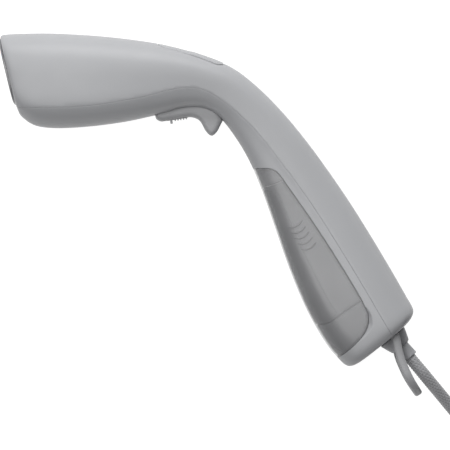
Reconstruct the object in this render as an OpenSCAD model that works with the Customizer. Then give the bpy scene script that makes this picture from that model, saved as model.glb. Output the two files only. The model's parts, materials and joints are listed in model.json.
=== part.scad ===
// Handheld garment steamer lying on its side. The steam head points to -X, the
// handle runs down to +X and -Y, and the floor is the plane z = 0. The body is
// the same above and below its middle plane, z = half_width.

/* [Body] */
// Half the width of the body, and so the height of its middle plane
half_width = 30; // [29:0.5:32]
// Thickness of the moulded shells
wall = 2.4; // [2.2:0.1:2.8]
// Squareness of the back half of the body's cross-section, 2 for an ellipse
back_squareness = 2.7; // [2.4:0.1:3]
// Squareness of its front half
front_squareness = 4; // [3.5:0.1:4.2]
// Gap beside a moving piece
gap = 0.35; // [0.3:0.05:0.45]

/* [Steam head] */
// How far the steam plate stands in front of the head's rim
plate_proud = 1.3; // [0.8:0.1:1.6]
// Radius of a steam hole
steam_hole_r = 1.5; // [1:0.1:1.8]
// Half the width of the boiler block
boiler_half = 19; // [17:0.5:20]

/* [Controls] */
// Width of the trigger
trigger_w = 16; // [14:0.5:17]
// Radius of the power button
button_r = 5.5; // [5:0.1:6]
// Half the width of the top panel
panel_half = 15.5; // [15:0.25:15.5]

/* [Water tank] */
// Thickness of the tank's outer cover
cover_wall = 1.8; // [1.5:0.1:2]
// Thickness of the water vessel's wall
vessel_wall = 1.6; // [1.4:0.1:1.8]

/* [Cord] */
// Diameter of the mains cord
cord_d = 8; // [7.5:0.1:8]
// Mean radius of the outermost turn of the stored cord
coil_outer = 54; // [52:1:54]
// Radius of each plug pin
plug_pin_r = 2.4; // [2.35:0.05:2.4]
// Length of each plug pin
plug_pin_l = 19; // [18.5:0.1:19.5]

/* [Hidden] */
$fn = 32;
mid = half_width;

// Cross-sections along the body, from the head's rim to the handle's end:
// front edge x, y, back edge x, y, and half width as a share of half_width
STATIONS = [
    [-124, 70, -134.5, 113.5, 0.86],
    [-123.2, 67.4, -133.6, 114.8, 0.9],
    [-120.5, 62.5, -130, 115.4, 0.95],
    [-112, 57.2, -118.5, 115.9, 0.99],
    [-98, 55.7, -102, 116, 0.997],
    [-77.5, 56.8, -77.5, 114.8, 0.996],
    [-55, 59.8, -53, 112.4, 0.95],
    [-34, 64.3, -29, 108.6, 0.86],
    [-17.5, 68.4, -6, 102.3, 0.76],
    [-4.5, 68, 13.5, 94.2, 0.69],
    [6, 62, 29.5, 82.1, 0.65],
    [15.5, 50, 45, 66.6, 0.63],
    [24.3, 35.2, 59.5, 49.3, 0.64],
    [32.6, 16, 73.6, 30.3, 0.68],
    [41.6, -9.6, 89, 7.8, 0.75],
    [50.6, -35.2, 103.7, -15.7, 0.84],
    [61.4, -60.8, 116.5, -37.2, 0.93],
    [73.6, -82, 124.8, -51.8, 0.99],
    [82.6, -92.8, 128.3, -57.9, 1],
    [86.6, -96, 129.4, -61.9, 0.97],
    [90, -96.2, 127.6, -66.4, 0.9],
    [93.5, -94.6, 123.6, -70.9, 0.79],
];
// The hollow inside starts in front of the rim and stops short of the end face
CAVITY = concat(
    [[-129, 69, -139.5, 112.5, 0.82]],
    [for (i = [0:18]) STATIONS[i]],
    [[90, -93.5, 123, -67.8, 0.9]]
);
// Parting line between the upper and the lower shell
SEAM = [
    [-150, 68.6], [-104, 67.8], [-74, 69.4], [-45, 74.3], [-26, 79.2], [-11, 80.8],
    [4, 74.9], [25.6, 56.6], [47, 30.2], [66, 3.8], [89.4, -33.4], [114.5, -76], [128, -99],
];
// Side outline of the water tank: its back and the round corner at its foot
TANK_BACK = [[46.1, 22.4], [65.9, -6], [84.5, -35], [96, -54.5]];
TANK_FOOT = [
    [99.5, -62.4], [99.8, -67.2], [98.6, -72.5], [95.4, -77.9], [91.1, -82.7], [85.8, -87.5],
    [82.6, -90.1],
];
// Steam plate: the middle of the head's rim and the lean of its plane
RIM = [-129.25, 91.75];
RIM_LEAN = 13.6;
// Handle axis behind the tank: a point on the tank's back line and its slope
GRIP = [46.1, 22.4];
GRIP_SLOPE = -57;
// The tank leaves the handle along this direction
TANK_WAY = 206;
// Cord guard: where its axis crosses the end face, and the axis direction
CORD_ROOT = [115.4, -77];
CORD_WAY = -50;
GUARD_L = 18.5;
// Hanging loop: its pivot and the middle line of its legs, seen from the side
LOOP_PIVOT = [113.2, -72.8];
LOOP_LINE = [
    [113.2, -72.8], [117.6, -78], [119.2, -85], [121.6, -93.5], [126.6, -104.5], [132.2, -113.4],
];
LOOP_HALF = 15.5;
LOOP_T = 5.3;
LOOP_LEG_W = 4;
LOOP_PIN_R = 1.5;
// Trigger: its pivot, and its lock's place and slope
TRIGGER_PIVOT = [-31, 69.5];
TRIGGER_PIN_R = 1.5;
LOCK_AT = [-23, 61.9];
LOCK_SLOPE = 8.5;
LOCK_TRAVEL = 4;
// Button: its place on the top outline, and the slope of the outline there
BUTTON_AT = [-5.5, 102.1];
BUTTON_SLOPE = -18.7;
// Running clearance of a pin in its bore
RUN = 0.05;
// The coil rests on its tie, so it is lifted by the tie's thickness
TIE_T = 1.2;
cord_r = cord_d / 2;
COIL = [220, -117];
COIL_TOP = TIE_T + 3 * cord_d;
// Route of the cord from the guard to the coil, and from the coil to the plug
CORD_ROUTE = [
    [127.3, -91.2, 30], [129.9, -94.3, 30], [135.4, -100.8, 28.2], [142, -108.7, 23.2],
    [148, -115.8, 18], [154, -123, 12.8], [160, -130.1, 8.6], [166, -137.3, 6.2],
    [172, -144.4, 5.3], [178, -151.6, 5.2],
];
TAIL_ROUTE = [
    [271.4, -101, 21.2], [268.4, -92, 21], [265.3, -83.5, 20.4], [262, -75, 19.6], [259, -67, 19],
];
PLUG_AT = [259, -67, 19];
PLUG_WAY = 110;
// Plug: length of its body, distance of the pins from its axis, radius of their roots
PLUG_L = 54;
PIN_OFFSET = 9.5;
PIN_ROOT_R = 2;
// Screw that holds the shells together below the head
HEAD_SCREW = [-98, 55.9];

SHELL_GREY = "#b4b5b8";
DARK_GREY = "#8b8c90";
SMOKE = "#7e7f82";
STEEL = "#c9cbce";
BRASS = "#c9a552";
COPPER = "#b5713c";
RUBBER = "#4c4d50";
BOARD_GREEN = "#2f6b45";
BLACK = "#26272a";

// ---------- Curves ----------

// Point at t between p[i] and p[i + 1] on a smooth curve through the points
function curve_at(p, i, t) =
    let (
        a = p[max(i - 1, 0)],
        b = p[i],
        c = p[min(i + 1, len(p) - 1)],
        d = p[min(i + 2, len(p) - 1)]
    )
    0.5 * (2 * b + (c - a) * t + (2 * a - 5 * b + 4 * c - d) * t * t
        + (3 * b - a - 3 * c + d) * t * t * t);

function smooth(p, steps) = concat(
    [for (i = [0:len(p) - 2], k = [0:steps - 1]) curve_at(p, i, k / steps)],
    [p[len(p) - 1]]
);

function unit(v) = v / norm(v);
function turn(v, a) = [v.x * cos(a) - v.y * sin(a), v.x * sin(a) + v.y * cos(a)];
function signed_power(x, e) = sign(x) * pow(abs(x), e);

// Closed superellipse with the half sizes a and b, squareness e above and f below the X axis
function squircle(a, b, e, f, count) = [
    for (k = [0:count - 1])
        let (angle = 360 * k / count, power = 2 / (2 * k < count ? e : f))
        [a * signed_power(cos(angle), power), b * signed_power(sin(angle), power)]
];

// ---------- Body surface ----------

RING = 32;

// One cross-section of the body, its skin moved in by inset
function ring(s, inset) =
    let (
        front = [s[0], s[1]],
        back = [s[2], s[3]],
        up = unit(back - front),
        middle = (front + back) / 2,
        tall = norm(back - front) / 2 - inset,
        wide = s[4] * half_width - inset
    )
    [for (q = squircle(wide, tall, back_squareness, front_squareness, RING)) [
        middle.x + up.x * q.y, middle.y + up.y * q.y, mid + q.x
    ]];

// Solid through rings that all have the same number of points
module ring_solid(rings) {
    count = len(rings[0]);
    last = len(rings) - 1;
    sides = [
        for (i = [0:last - 1], k = [0:count - 1])
            let (a = i * count + k, b = i * count + (k + 1) % count)
            each [[a, b, b + count], [a, b + count, a + count]]
    ];
    first_cap = [for (k = [count - 1:-1:0]) k];
    last_cap = [for (k = [0:count - 1]) last * count + k];
    polyhedron([for (r = rings) each r], concat(sides, [first_cap, last_cap]), convexity = 6);
}

module body_form(inset = 0, stations = STATIONS) {
    ring_solid([for (s = smooth(stations, 2)) ring(s, inset)]);
}

module through(width = 90) {
    translate([0, 0, mid]) linear_extrude(width, center = true) children();
}

module above_seam() {
    through() polygon(concat(smooth(SEAM, 3), [[160, -99], [160, 140], [-150, 140]]));
}

module below_seam() {
    through() polygon(concat(smooth(SEAM, 3), [[128, -140], [-150, -140]]));
}

// ---------- Frames of the head and the grip ----------

module head_frame() {
    translate([RIM.x, RIM.y, mid]) rotate([0, 0, RIM_LEAN]) children();
}

module grip_frame() {
    translate([GRIP.x, GRIP.y, mid]) rotate([0, 0, GRIP_SLOPE]) children();
}

// Cylinder along +X from x0, centred on y and z
module rod(x0, length, r, y = 0, z = 0) {
    translate([x0, y, z]) rotate([0, 90, 0]) cylinder(h = length, r = r);
}

module block(x, y, z) {
    translate([x[0], y[0], z[0]]) cube([x[1] - x[0], y[1] - y[0], z[1] - z[0]]);
}

// Round tube or bar swept along points
module sweep(path, r, sides = 10) {
    last = len(path) - 1;
    ring_solid([
        for (i = [0:last])
            let (
                ahead = unit(path[min(i + 1, last)] - path[max(i - 1, 0)]),
                side = unit(cross(ahead, [0, 0, 1])),
                up = cross(side, ahead)
            )
            [for (k = [0:sides - 1])
                path[i] + r * (cos(-360 * k / sides) * side + sin(-360 * k / sides) * up)]
    ]);
}

// ---------- Water tank outline ----------

// Side outline of the tank, drawn in by d; the front lies outside the handle
module tank_outline(d = 0) {
    way = [cos(TANK_WAY), sin(TANK_WAY)];
    top_corner = [for (a = [75:-25:50]) [35.5, 19] + 10.6 * [cos(a), sin(a)]];
    foot = TANK_FOOT[len(TANK_FOOT) - 1];
    offset(delta = -d)
        polygon(concat(
            [[10, 29.6], [36.5, 29.6]],
            top_corner,
            smooth(TANK_BACK, 2),
            TANK_FOOT,
            [foot + 40 * way, [10, -60]]
        ));
}

// ---------- Trigger outline ----------

TRIGGER_LOW = [
    [-35.6, 63.6], [-34.8, 61.3], [-32, 60], [-28.5, 60.4], [-20, 61.8], [-13.5, 62.7],
    [-9, 61.6], [-6.2, 59], [-3.2, 53.6], [0.3, 50.8], [3.6, 53], [6.2, 57.8], [7.6, 60.6],
];
TRIGGER_HIGH = [[3.5, 67.5], [-3, 72.5], [-12, 74], [-26, 73.2], [-33.5, 70]];

module trigger_outline() {
    polygon(concat(smooth(TRIGGER_LOW, 3), TRIGGER_HIGH));
}

// The trigger's slot in the lower shell, with room for its whole swing
module trigger_slot() {
    through(trigger_w + 2 * gap)
        offset(delta = gap + 0.1)
            union() {
                trigger_outline();
                translate(TRIGGER_PIVOT) rotate(3) translate(-TRIGGER_PIVOT) trigger_outline();
                translate(TRIGGER_PIVOT) rotate(6) translate(-TRIGGER_PIVOT) trigger_outline();
            }
}

// Plan outline of the top panel, with round corners
module panel_outline() {
    corner = 6;
    centre = [[2, 1], [-28, 1], [-28, -1], [2, -1]];
    polygon([
        for (i = [0:3], a = [0:22.5:90])
            let (turned = 90 * i + a)
            [centre[i].x, centre[i].y * (panel_half - corner)] + corner * [cos(turned), sin(turned)]
    ]);
}

module panel_prism() {
    translate([0, 90, mid]) rotate([-90, 0, 0]) linear_extrude(40) panel_outline();
}

// Openings where the legs of the hanging loop swing out of the end face
module loop_slots() {
    for (s = [-1, 1])
        translate([LOOP_PIVOT.x, LOOP_PIVOT.y, mid + s * LOOP_HALF])
            rotate([0, 0, CORD_WAY - 3])
                translate([4, -2.5, 0])
                    cube([17, 18, LOOP_LEG_W + 2 * gap], center = true);
}

module guard_hole(r) {
    translate([CORD_ROOT.x, CORD_ROOT.y, mid]) rotate([0, 0, CORD_WAY]) rod(-14, 30, r);
}

// ---------- Casing ----------

module upper_shell() {
    color(SHELL_GREY)
        resize([0, 0, 0])
            difference() {
                intersection() {
                    body_form();
                    above_seam();
                }
                body_form(wall, CAVITY);
                panel_prism();
                through() tank_outline();
                loop_slots();
                guard_hole(7);
            }
}

module lower_shell() {
    color(SHELL_GREY)
        resize([0, 0, 0])
            difference() {
                intersection() {
                    body_form();
                    below_seam();
                }
                body_form(wall, CAVITY);
                through() tank_outline();
                trigger_slot();
                loop_slots();
                guard_hole(7);
                head_screw_frame() translate([0, 0, -6]) cylinder(h = 12, r = 4);
                translate([TRIGGER_PIVOT.x, TRIGGER_PIVOT.y, mid])
                    cylinder(h = trigger_w + 6.2, r = TRIGGER_PIN_R + RUN, center = true);
            }
}

module top_panel() {
    color(SHELL_GREY)
        difference() {
            resize([0, 0, 0])
                intersection() {
                    difference() {
                        body_form();
                        body_form(wall - 0.4, CAVITY);
                    }
                    panel_prism();
                }
            button_frame() cylinder(h = 20, r = button_r + 0.1, center = true);
            button_frame() translate([-15, 0, 0]) cylinder(h = 20, r = 1.5, center = true);
        }
}

// Frame on the top panel: +Z is the outward normal, +X runs towards the handle
module button_frame() {
    translate([BUTTON_AT.x, BUTTON_AT.y, mid])
        rotate([0, 0, BUTTON_SLOPE])
            rotate([-90, 0, 0])
                children();
}

module power_button() {
    color(DARK_GREY)
        button_frame() {
            translate([0, 0, -4.2]) cylinder(h = 4.2, r = button_r);
            translate([0, 0, -5.1]) cylinder(h = 0.9, r = 1.6);
        }
}

module indicator_lens() {
    color("white") button_frame() translate([-15, 0, -5]) cylinder(h = 4.4, r = 1.5);
}

module button_board() {
    color(BOARD_GREEN)
        button_frame()
            difference() {
                translate([-20, -7, -12]) cube([27, 14, 1.6]);
                translate([-17, -5, -13]) cylinder(h = 4, r = 0.9);
                translate([-17, 5, -13]) cylinder(h = 4, r = 0.9);
            }
}

module power_switch() {
    color(BLACK) button_frame() translate([-3, -3, -10.4]) cube([6, 6, 3.6]);
    color(STEEL) button_frame() translate([0, 0, -6.8]) cylinder(h = 0.8, r = 1.6);
}

// Frame of the screw below the head: +Z runs up into the casing
module head_screw_frame() {
    translate([HEAD_SCREW.x, HEAD_SCREW.y, mid]) rotate([-90, 0, 0]) children();
}

module screw_cover() {
    color(SHELL_GREY) head_screw_frame() cylinder(h = 2.2, r = 3.9);
}

// ---------- Steam head ----------

module steam_plate() {
    color(DARK_GREY)
        head_frame()
            difference() {
                union() {
                    translate([-plate_proud, 0, 0]) plate_slab(1.2, 24.6, 21.6);
                    translate([-0.1, 0, 0]) plate_slab(3.9, 20.4, 17.4);
                }
                for (side = [-1, 1], row = [-2:2])
                    rod(-5, 12, steam_hole_r, row * 6, side * 9);
                for (row = [-1, 1])
                    rod(-5, 12, steam_hole_r, row * 9, 0);
            }
}

module plate_slab(thick, wide, tall) {
    rotate([0, 90, 0])
        linear_extrude(thick)
            polygon(squircle(wide, tall, back_squareness, front_squareness, 48));
}

module plate_gasket() {
    color(RUBBER)
        head_frame()
            difference() {
                translate([0.2, 0, 0]) plate_slab(2, 21.4, 18.4);
                plate_slab(3, 20.5, 17.5);
            }
}

// U-shaped rod that is cast into the boiler block
module element_rod(r) {
    for (z = [-9, 9])
        rod(14, 34, r, -16, z);
    translate([14, -16, 0]) cylinder(h = 18, r = r, center = true);
}

module lid_screw_places() {
    for (y = [-20, 4], z = [-16, 16])
        translate([0, y, z]) children();
}

module boiler_body() {
    color(STEEL)
        head_frame()
            difference() {
                linear_extrude(2 * boiler_half, center = true)
                    polygon([[3.8, -15], [3.8, 13.4], [14, 13.4], [32, 8], [32, -24], [12, -19]]);
                block([-1, 27], [-12, 6], [-11, 11]);
                element_rod(2);
                lid_screw_places() rod(20, 20, 1.25);
            }
}

module boiler_gasket() {
    color(RUBBER)
        head_frame()
            difference() {
                block([32, 33.2], [-24, 8], [-boiler_half, boiler_half]);
                block([31, 34], [-12, 1], [-11, 11]);
                lid_screw_places() rod(30, 5, 1.6);
                element_rod(2.1);
            }
}

module boiler_lid() {
    color(STEEL)
        head_frame()
            difference() {
                block([33.2, 37], [-24, 8], [-boiler_half, boiler_half]);
                lid_screw_places() rod(30, 10, 1.6);
                rod(30, 10, 3, -6);
                element_rod(2.1);
            }
}

module boiler_screws() {
    color(STEEL)
        head_frame()
            lid_screw_places() {
                rod(21, 16.5, 1.2);
                rod(37, 2, 2.7);
            }
}

module heating_element() {
    color(COPPER) head_frame() element_rod(2);
}

module thermostat() {
    color(STEEL) head_frame() translate([19, -28.4, 0]) rotate([-90, 0, 0]) cylinder(h = 5, r = 7);
    color(BLACK) head_frame() translate([19, -30.4, 0]) rotate([-90, 0, 0]) cylinder(h = 2, r = 6);
}

module thermal_fuse() {
    color("white") head_frame() translate([42, 3, 0]) cylinder(h = 14, r = 1.8, center = true);
}

module heat_shield() {
    color(STEEL)
        head_frame()
            difference() {
                block([46, 47], [-26, 5], [-17, 17]);
                rod(40, 10, 4, -6);
                element_rod(2.6);
            }
}

module steam_inlet() {
    color(BRASS)
        head_frame()
            difference() {
                union() {
                    rod(33.4, 16.6, 2.9, -6);
                    rod(37, 3, 5, -6);
                }
                rod(30, 30, 1.2, -6);
            }
}

// Hoses and leads follow smooth curves inside the casing
module run(points, r) {
    sweep(smooth(points, 4), r, 10);
}

module delivery_hose() {
    color("white")
        run([
            [-78.8, 97.9, mid], [-72, 99, mid], [-60, 98.5, mid + 1], [-42, 93.5, mid + 3],
            [-22, 88, mid + 6], [0, 81, mid + 9], [18, 69, mid + 9], [34, 55.5, mid + 7],
            [46, 44.6, mid + 2], [52, 37.2, mid], [54.4, 33.5, mid],
        ], 2.4);
}

// ---------- Pump ----------

PUMP_X = 4;
PUMP_Y = 13;

module pump_body() {
    color("ivory")
        grip_frame()
            difference() {
                union() {
                    rod(PUMP_X, 52, 5, PUMP_Y);
                    rod(PUMP_X + 4, 3, 9, PUMP_Y);
                    rod(PUMP_X + 42, 3, 9, PUMP_Y);
                    rod(PUMP_X - 8, 8, 2.2, PUMP_Y);
                    rod(PUMP_X + 52, 8, 2.2, PUMP_Y);
                }
                rod(PUMP_X - 10, 75, 1.2, PUMP_Y);
            }
}

module pump_coil() {
    color(COPPER)
        grip_frame()
            difference() {
                rod(PUMP_X + 7, 35, 8.4, PUMP_Y);
                rod(PUMP_X, 60, 5 + RUN, PUMP_Y);
            }
}

module pump_mounts() {
    color(RUBBER)
        grip_frame()
            for (x = [PUMP_X, PUMP_X + 45])
                difference() {
                    rod(x, 4, 8.6, PUMP_Y);
                    rod(x - 1, 6, 5 + RUN, PUMP_Y);
                }
}

module suction_hose() {
    color("white")
        grip_frame()
            run([
                [64.6, PUMP_Y, 0], [66.4, PUMP_Y, 0.2], [68.6, 11.8, 2.6], [71, 8.6, 6.6],
                [73.2, 6.9, 8.9], [75.7, 6.8, 9],
            ], 2.4);
}

// ---------- Tank bay and dock ----------

// The liner of the bay follows the tank's back at a small distance
module tank_bay() {
    color(SHELL_GREY)
        difference() {
            resize([0, 0, 0])
                intersection() {
                    body_form(wall + 0.2, CAVITY);
                    through(60)
                        difference() {
                            tank_outline(-1.6);
                            tank_outline();
                        }
                    through(60) polygon([[30, 45], [120, 45], [120, -57], [97, -57], [37, 20]]);
                }
            dock_frame() rod(-4, 10, 4.2);
        }
}

// Frame of the water outlet: +X points out of the tank's back
module dock_frame() {
    grip_frame() translate([84, 0, 9]) rotate([0, 0, 90]) children();
}

module dock_spigot() {
    color("ivory")
        dock_frame()
            difference() {
                union() {
                    rod(0.6, 3, 3);
                    rod(2.6, 7, 5);
                    translate([6.8, 2, 0]) rotate([-90, 0, 0]) cylinder(h = 6, r = 2.2);
                }
                rod(0, 7, 1.2);
                translate([6.8, 0, 0]) rotate([-90, 0, 0]) cylinder(h = 10, r = 1.2);
            }
}

module dock_seal() {
    color(RUBBER)
        dock_frame()
            difference() {
                rod(0.8, 1.6, 4.1);
                rod(0, 5, 3.05);
            }
}

// ---------- Electronics ----------

module control_board() {
    color(BOARD_GREEN)
        translate([0, 0, mid - 12])
            linear_extrude(1.6)
                polygon([[-62, 84], [-24, 84], [-24, 100], [-62, 106]]);
}

module board_parts() {
    color(BLACK) block([-58, -48], [88, 98], [mid - 10.4, mid - 2]);
    color("orange") block([-44, -34], [87, 93], [mid - 10.4, mid - 4]);
    color(STEEL) translate([-38, 97, mid - 10.4]) cylinder(h = 8, r = 2.5);
}

module trigger_switch() {
    color(BLACK) block([-18, 2], [78.4, 87], [mid - 3.2, mid + 3.2]);
    color(STEEL) translate([-6, 76.9, mid]) rotate([-90, 0, 0]) cylinder(h = 1.5, r = 1);
}

module inner_leads() {
    color(BLACK) {
        run([
            [100.5, -56, mid - 11], [96, -46, mid - 12], [84, -26, mid - 14], [70, -3, mid - 14],
            [58, 17, mid - 13], [46, 38, mid - 11], [30, 60, mid - 11], [12, 76, mid - 11],
            [-8, 87, mid - 14], [-22, 91, mid - 14],
        ], 1.4);
        run([
            [-64, 92, mid - 14], [-72, 90, mid - 15], [-78, 88, mid - 16.6],
        ], 1.4);
    }
}

// ---------- Trigger ----------

module trigger() {
    color(DARK_GREY)
        difference() {
            through(trigger_w) trigger_outline();
            translate([TRIGGER_PIVOT.x, TRIGGER_PIVOT.y, mid])
                cylinder(h = trigger_w + 2, r = TRIGGER_PIN_R + RUN, center = true);
            lock_frame() block([-5 - LOCK_TRAVEL - gap, 8 + gap], [-4, 1.6], [-4 - gap, 4 + gap]);
            translate([-22, 72, mid]) rotate([-90, 0, 0]) cylinder(h = 6, r = 3.4);
        }
}

module trigger_pin() {
    color(STEEL)
        translate([TRIGGER_PIVOT.x, TRIGGER_PIVOT.y, mid])
            cylinder(h = trigger_w + 6, r = TRIGGER_PIN_R, center = true);
}

module trigger_spring() {
    color(STEEL)
        translate([-22, 72.1, mid])
            rotate([-90, 0, 0])
                difference() {
                    cylinder(h = 9, r = 3);
                    translate([0, 0, -1]) cylinder(h = 12, r = 2.3);
                }
}

module lock_frame() {
    translate([LOCK_AT.x, LOCK_AT.y, mid]) rotate([0, 0, LOCK_SLOPE]) children();
}

// Slider under the trigger, with one tall tooth in front and five low ones
module trigger_lock() {
    color(DARK_GREY)
        lock_frame() {
            block([-5, 8], [-0.9, 1.2], [-4, 4]);
            block([-3.4, -1.8], [-3.1, -0.8], [-4, 4]);
            for (k = [0:4])
                block([-0.5 + 1.8 * k, 0.4 + 1.8 * k], [-1.7, -0.8], [-4, 4]);
        }
}

// ---------- Water tank ----------

module tank_cover() {
    color(SMOKE, 0.8)
        resize([0, 0, 0])
            difference() {
                intersection() {
                    body_form();
                    through() tank_outline(gap);
                }
                body_form(cover_wall, CAVITY);
            }
}

// Where the vessel ends below the cap, with its arched top
module vessel_outline(d) {
    intersection() {
        tank_outline(2.2 + d);
        polygon([
            [0, 14 - d], [31, 14 - d], [38, 11 - d], [44, 8 - d], [110, 8], [110, -120], [0, -120],
        ]);
    }
}

module tank_vessel() {
    color(SMOKE, 0.6)
        resize([0, 0, 0])
            difference() {
                intersection() {
                    body_form(cover_wall + 0.2);
                    through(80) vessel_outline(0);
                }
                intersection() {
                    body_form(cover_wall + 0.2 + vessel_wall);
                    through(80) vessel_outline(vessel_wall);
                }
                dock_frame() rod(-8, 20, 2.6);
                filler_frame() rod(-6, 12, 6);
            }
}

// Frame of the filler hole: +X points out of the tank's back
module filler_frame() {
    grip_frame() translate([36, 0, -8]) rotate([0, 0, 90]) children();
}

// Grip at the tank's upper end, above the vessel
module tank_cap() {
    color(DARK_GREY)
        resize([0, 0, 0])
            intersection() {
                body_form(cover_wall + 0.2);
                through(80)
                    intersection() {
                        tank_outline(2.2);
                        polygon([
                            [0, 50], [0, 14.4], [31, 14.4], [38.2, 11.4], [44.2, 8.4], [60, 8.4], [60, 50],
                        ]);
                    }
            }
}

module tank_outlet() {
    color(RUBBER)
        dock_frame()
            difference() {
                rod(-7, 6.6, 2.5);
                rod(-9, 12, 0.9);
            }
}

module pickup_tube() {
    color("white")
        grip_frame()
            run([
                [84, -7.5, 9], [84, -9, 9], [86.4, -12, 8.6], [93, -16.5, 6], [98, -20, 2],
                [101, -22, 0],
            ], 1.6);
}

module filler_stopper() {
    color(RUBBER)
        filler_frame() {
            rod(-0.6, 1.2, 7);
            rod(-5, 4.4, 5.9);
        }
}

// ---------- Handle end ----------

module end_frame() {
    color(BLACK)
        difference() {
            for (s = [-1, 1])
                translate([LOOP_PIVOT.x, LOOP_PIVOT.y, mid])
                    rotate([0, 0, CORD_WAY]) {
                        block([-9, 1], [-4, 4], s > 0 ? [18.2, 20.4] : [-20.4, -18.2]);
                        block([-9, 1], [-4, 4], s > 0 ? [11, 12.8] : [-12.8, -11]);
                        block([-9, -6.5], [-4, 4], s > 0 ? [11, 20.4] : [-20.4, -11]);
                    }
            translate([LOOP_PIVOT.x, LOOP_PIVOT.y, mid])
                cylinder(h = 60, r = LOOP_PIN_R, center = true);
        }
}

module loop_pins() {
    color(STEEL)
        for (s = [-1, 1])
            translate([LOOP_PIVOT.x, LOOP_PIVOT.y, mid + s * 15.7])
                cylinder(h = 9.4, r = LOOP_PIN_R, center = true);
}

module cord_guard() {
    color(DARK_GREY)
        translate([CORD_ROOT.x, CORD_ROOT.y, mid])
            rotate([0, 0, CORD_WAY])
                rotate([0, 90, 0])
                    rotate_extrude($fn = 48)
                        polygon([
                            [cord_r + 0.01, -9], [9.4, -9], [9.4, -5.6], [6.9, -5.6], [6.9, 0.5],
                            [9.7, 1.5], [8.4, 5.2], [6.8, 9], [6.1, 9.8], [5, 10.1], [5.4, 18],
                            [5, GUARD_L], [cord_r + 0.01, GUARD_L],
                        ]);
}

module cord_clamp() {
    color("ivory")
        translate([CORD_ROOT.x, CORD_ROOT.y, mid])
            rotate([0, 0, CORD_WAY])
                difference() {
                    block([-19, -12], [-6.5, 7], [-10, 10]);
                    rod(-22, 12, cord_r);
                    for (z = [-7.5, 7.5])
                        translate([-15.5, -8, z]) rotate([-90, 0, 0]) cylinder(h = 20, r = 1.1);
                }
}

// The cord's inner end, inside the guard and the clamp
module cord_end() {
    color(DARK_GREY)
        translate([CORD_ROOT.x, CORD_ROOT.y, mid])
            rotate([0, 0, CORD_WAY])
                rod(-22, 22 + GUARD_L, cord_r);
}

module clamp_screws() {
    color(STEEL)
        translate([CORD_ROOT.x, CORD_ROOT.y, mid])
            rotate([0, 0, CORD_WAY])
                for (z = [-7.5, 7.5])
                    translate([-15.5, -6.5, z]) {
                        rotate([-90, 0, 0]) cylinder(h = 13, r = 1.1);
                        rotate([90, 0, 0]) cylinder(h = 1.4, r = 2);
                    }
}

module shell_screws() {
    color(STEEL) {
        head_screw_frame() translate([0, 0, 2.5]) cylinder(h = 1.8, r = 2.8);
        head_screw_frame() translate([0, 0, 4.1]) cylinder(h = 6.5, r = 1.4);
        for (z = [-14, 14])
            grip_frame() {
                translate([100, 12, z]) rotate([-90, 0, 0]) cylinder(h = 8, r = 1.4);
                translate([100, 10.4, z]) rotate([-90, 0, 0]) cylinder(h = 1.8, r = 2.8);
            }
    }
}

// Legs on both sides of the cord guard, joined by a round bow at the far end
module hanging_loop() {
    line = smooth(LOOP_LINE, 3);
    color(DARK_GREY)
        difference() {
            resize([0, 0, 0])
                union() {
                    intersection() {
                        through(2 * LOOP_HALF + LOOP_LEG_W)
                            offset(r = 0.5)
                                for (i = [0:len(line) - 2])
                                    loop_link(line[i], line[i + 1]);
                        loop_plan();
                    }
                    for (s = [-1, 1])
                        translate([LOOP_PIVOT.x, LOOP_PIVOT.y, mid + s * LOOP_HALF])
                            cylinder(h = LOOP_LEG_W, r = 3.4, center = true);
                }
            translate([LOOP_PIVOT.x, LOOP_PIVOT.y, mid])
                cylinder(h = 60, r = LOOP_PIN_R + RUN, center = true);
        }
}

module loop_link(a, b) {
    along = unit(b - a);
    side = (LOOP_T / 2 - 0.5) * [-along.y, along.x];
    polygon([a - along - side, b + along - side, b + along + side, a - along + side]);
}

// The loop seen along its thin side: a long ring that is round at the far end
module loop_plan() {
    length = 47;
    half = LOOP_HALF + LOOP_LEG_W / 2;
    inside = half - LOOP_LEG_W;
    translate([LOOP_PIVOT.x, LOOP_PIVOT.y, mid])
        rotate([0, 0, -65])
            rotate([90, 0, 0])
                linear_extrude(60, center = true)
                    difference() {
                        polygon(concat([[-6, -half]],
                            [for (a = [-90:10:90]) [length - half, 0] + half * [cos(a), sin(a)]],
                            [[-6, half]]));
                        polygon(concat([[-7, -inside]],
                            [for (a = [-90:10:90]) [length - half, 0] + inside * [cos(a), sin(a)]],
                            [[-7, inside]]));
                    }
}

// ---------- Cord and plug ----------

module cord() {
    color(DARK_GREY) sweep(CORD_ROUTE, cord_r, 12);
}

module cord_tail() {
    color(DARK_GREY) sweep(TAIL_ROUTE, cord_r, 12);
}

module cord_coil() {
    inner = coil_outer - 2 * cord_d;
    color(DARK_GREY)
        translate([COIL.x, COIL.y, 0])
            rotate_extrude($fn = 64)
                polygon([
                    [inner - cord_r, TIE_T + 3], [inner - 1, TIE_T], [coil_outer + 1, TIE_T],
                    [coil_outer + cord_r, TIE_T + 3], [coil_outer + cord_r, COIL_TOP - 3],
                    [coil_outer + 1, COIL_TOP], [inner - 1, COIL_TOP], [inner - cord_r, COIL_TOP - 3],
                ]);
}

module cord_tie() {
    wide = 14;
    low = coil_outer - 2.5 * cord_d - 1;
    high = coil_outer + 0.5 * cord_d + 0.2;
    color(BLACK)
        translate([COIL.x, COIL.y, 0])
            rotate([0, 0, -60])
                difference() {
                    block([low - TIE_T, high + TIE_T], [-wide / 2, wide / 2], [0, COIL_TOP + TIE_T]);
                    block([low, high], [-wide, wide], [TIE_T, COIL_TOP]);
                }
}

module plug_frame() {
    translate(PLUG_AT) rotate([0, 0, PLUG_WAY]) children();
}

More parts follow.
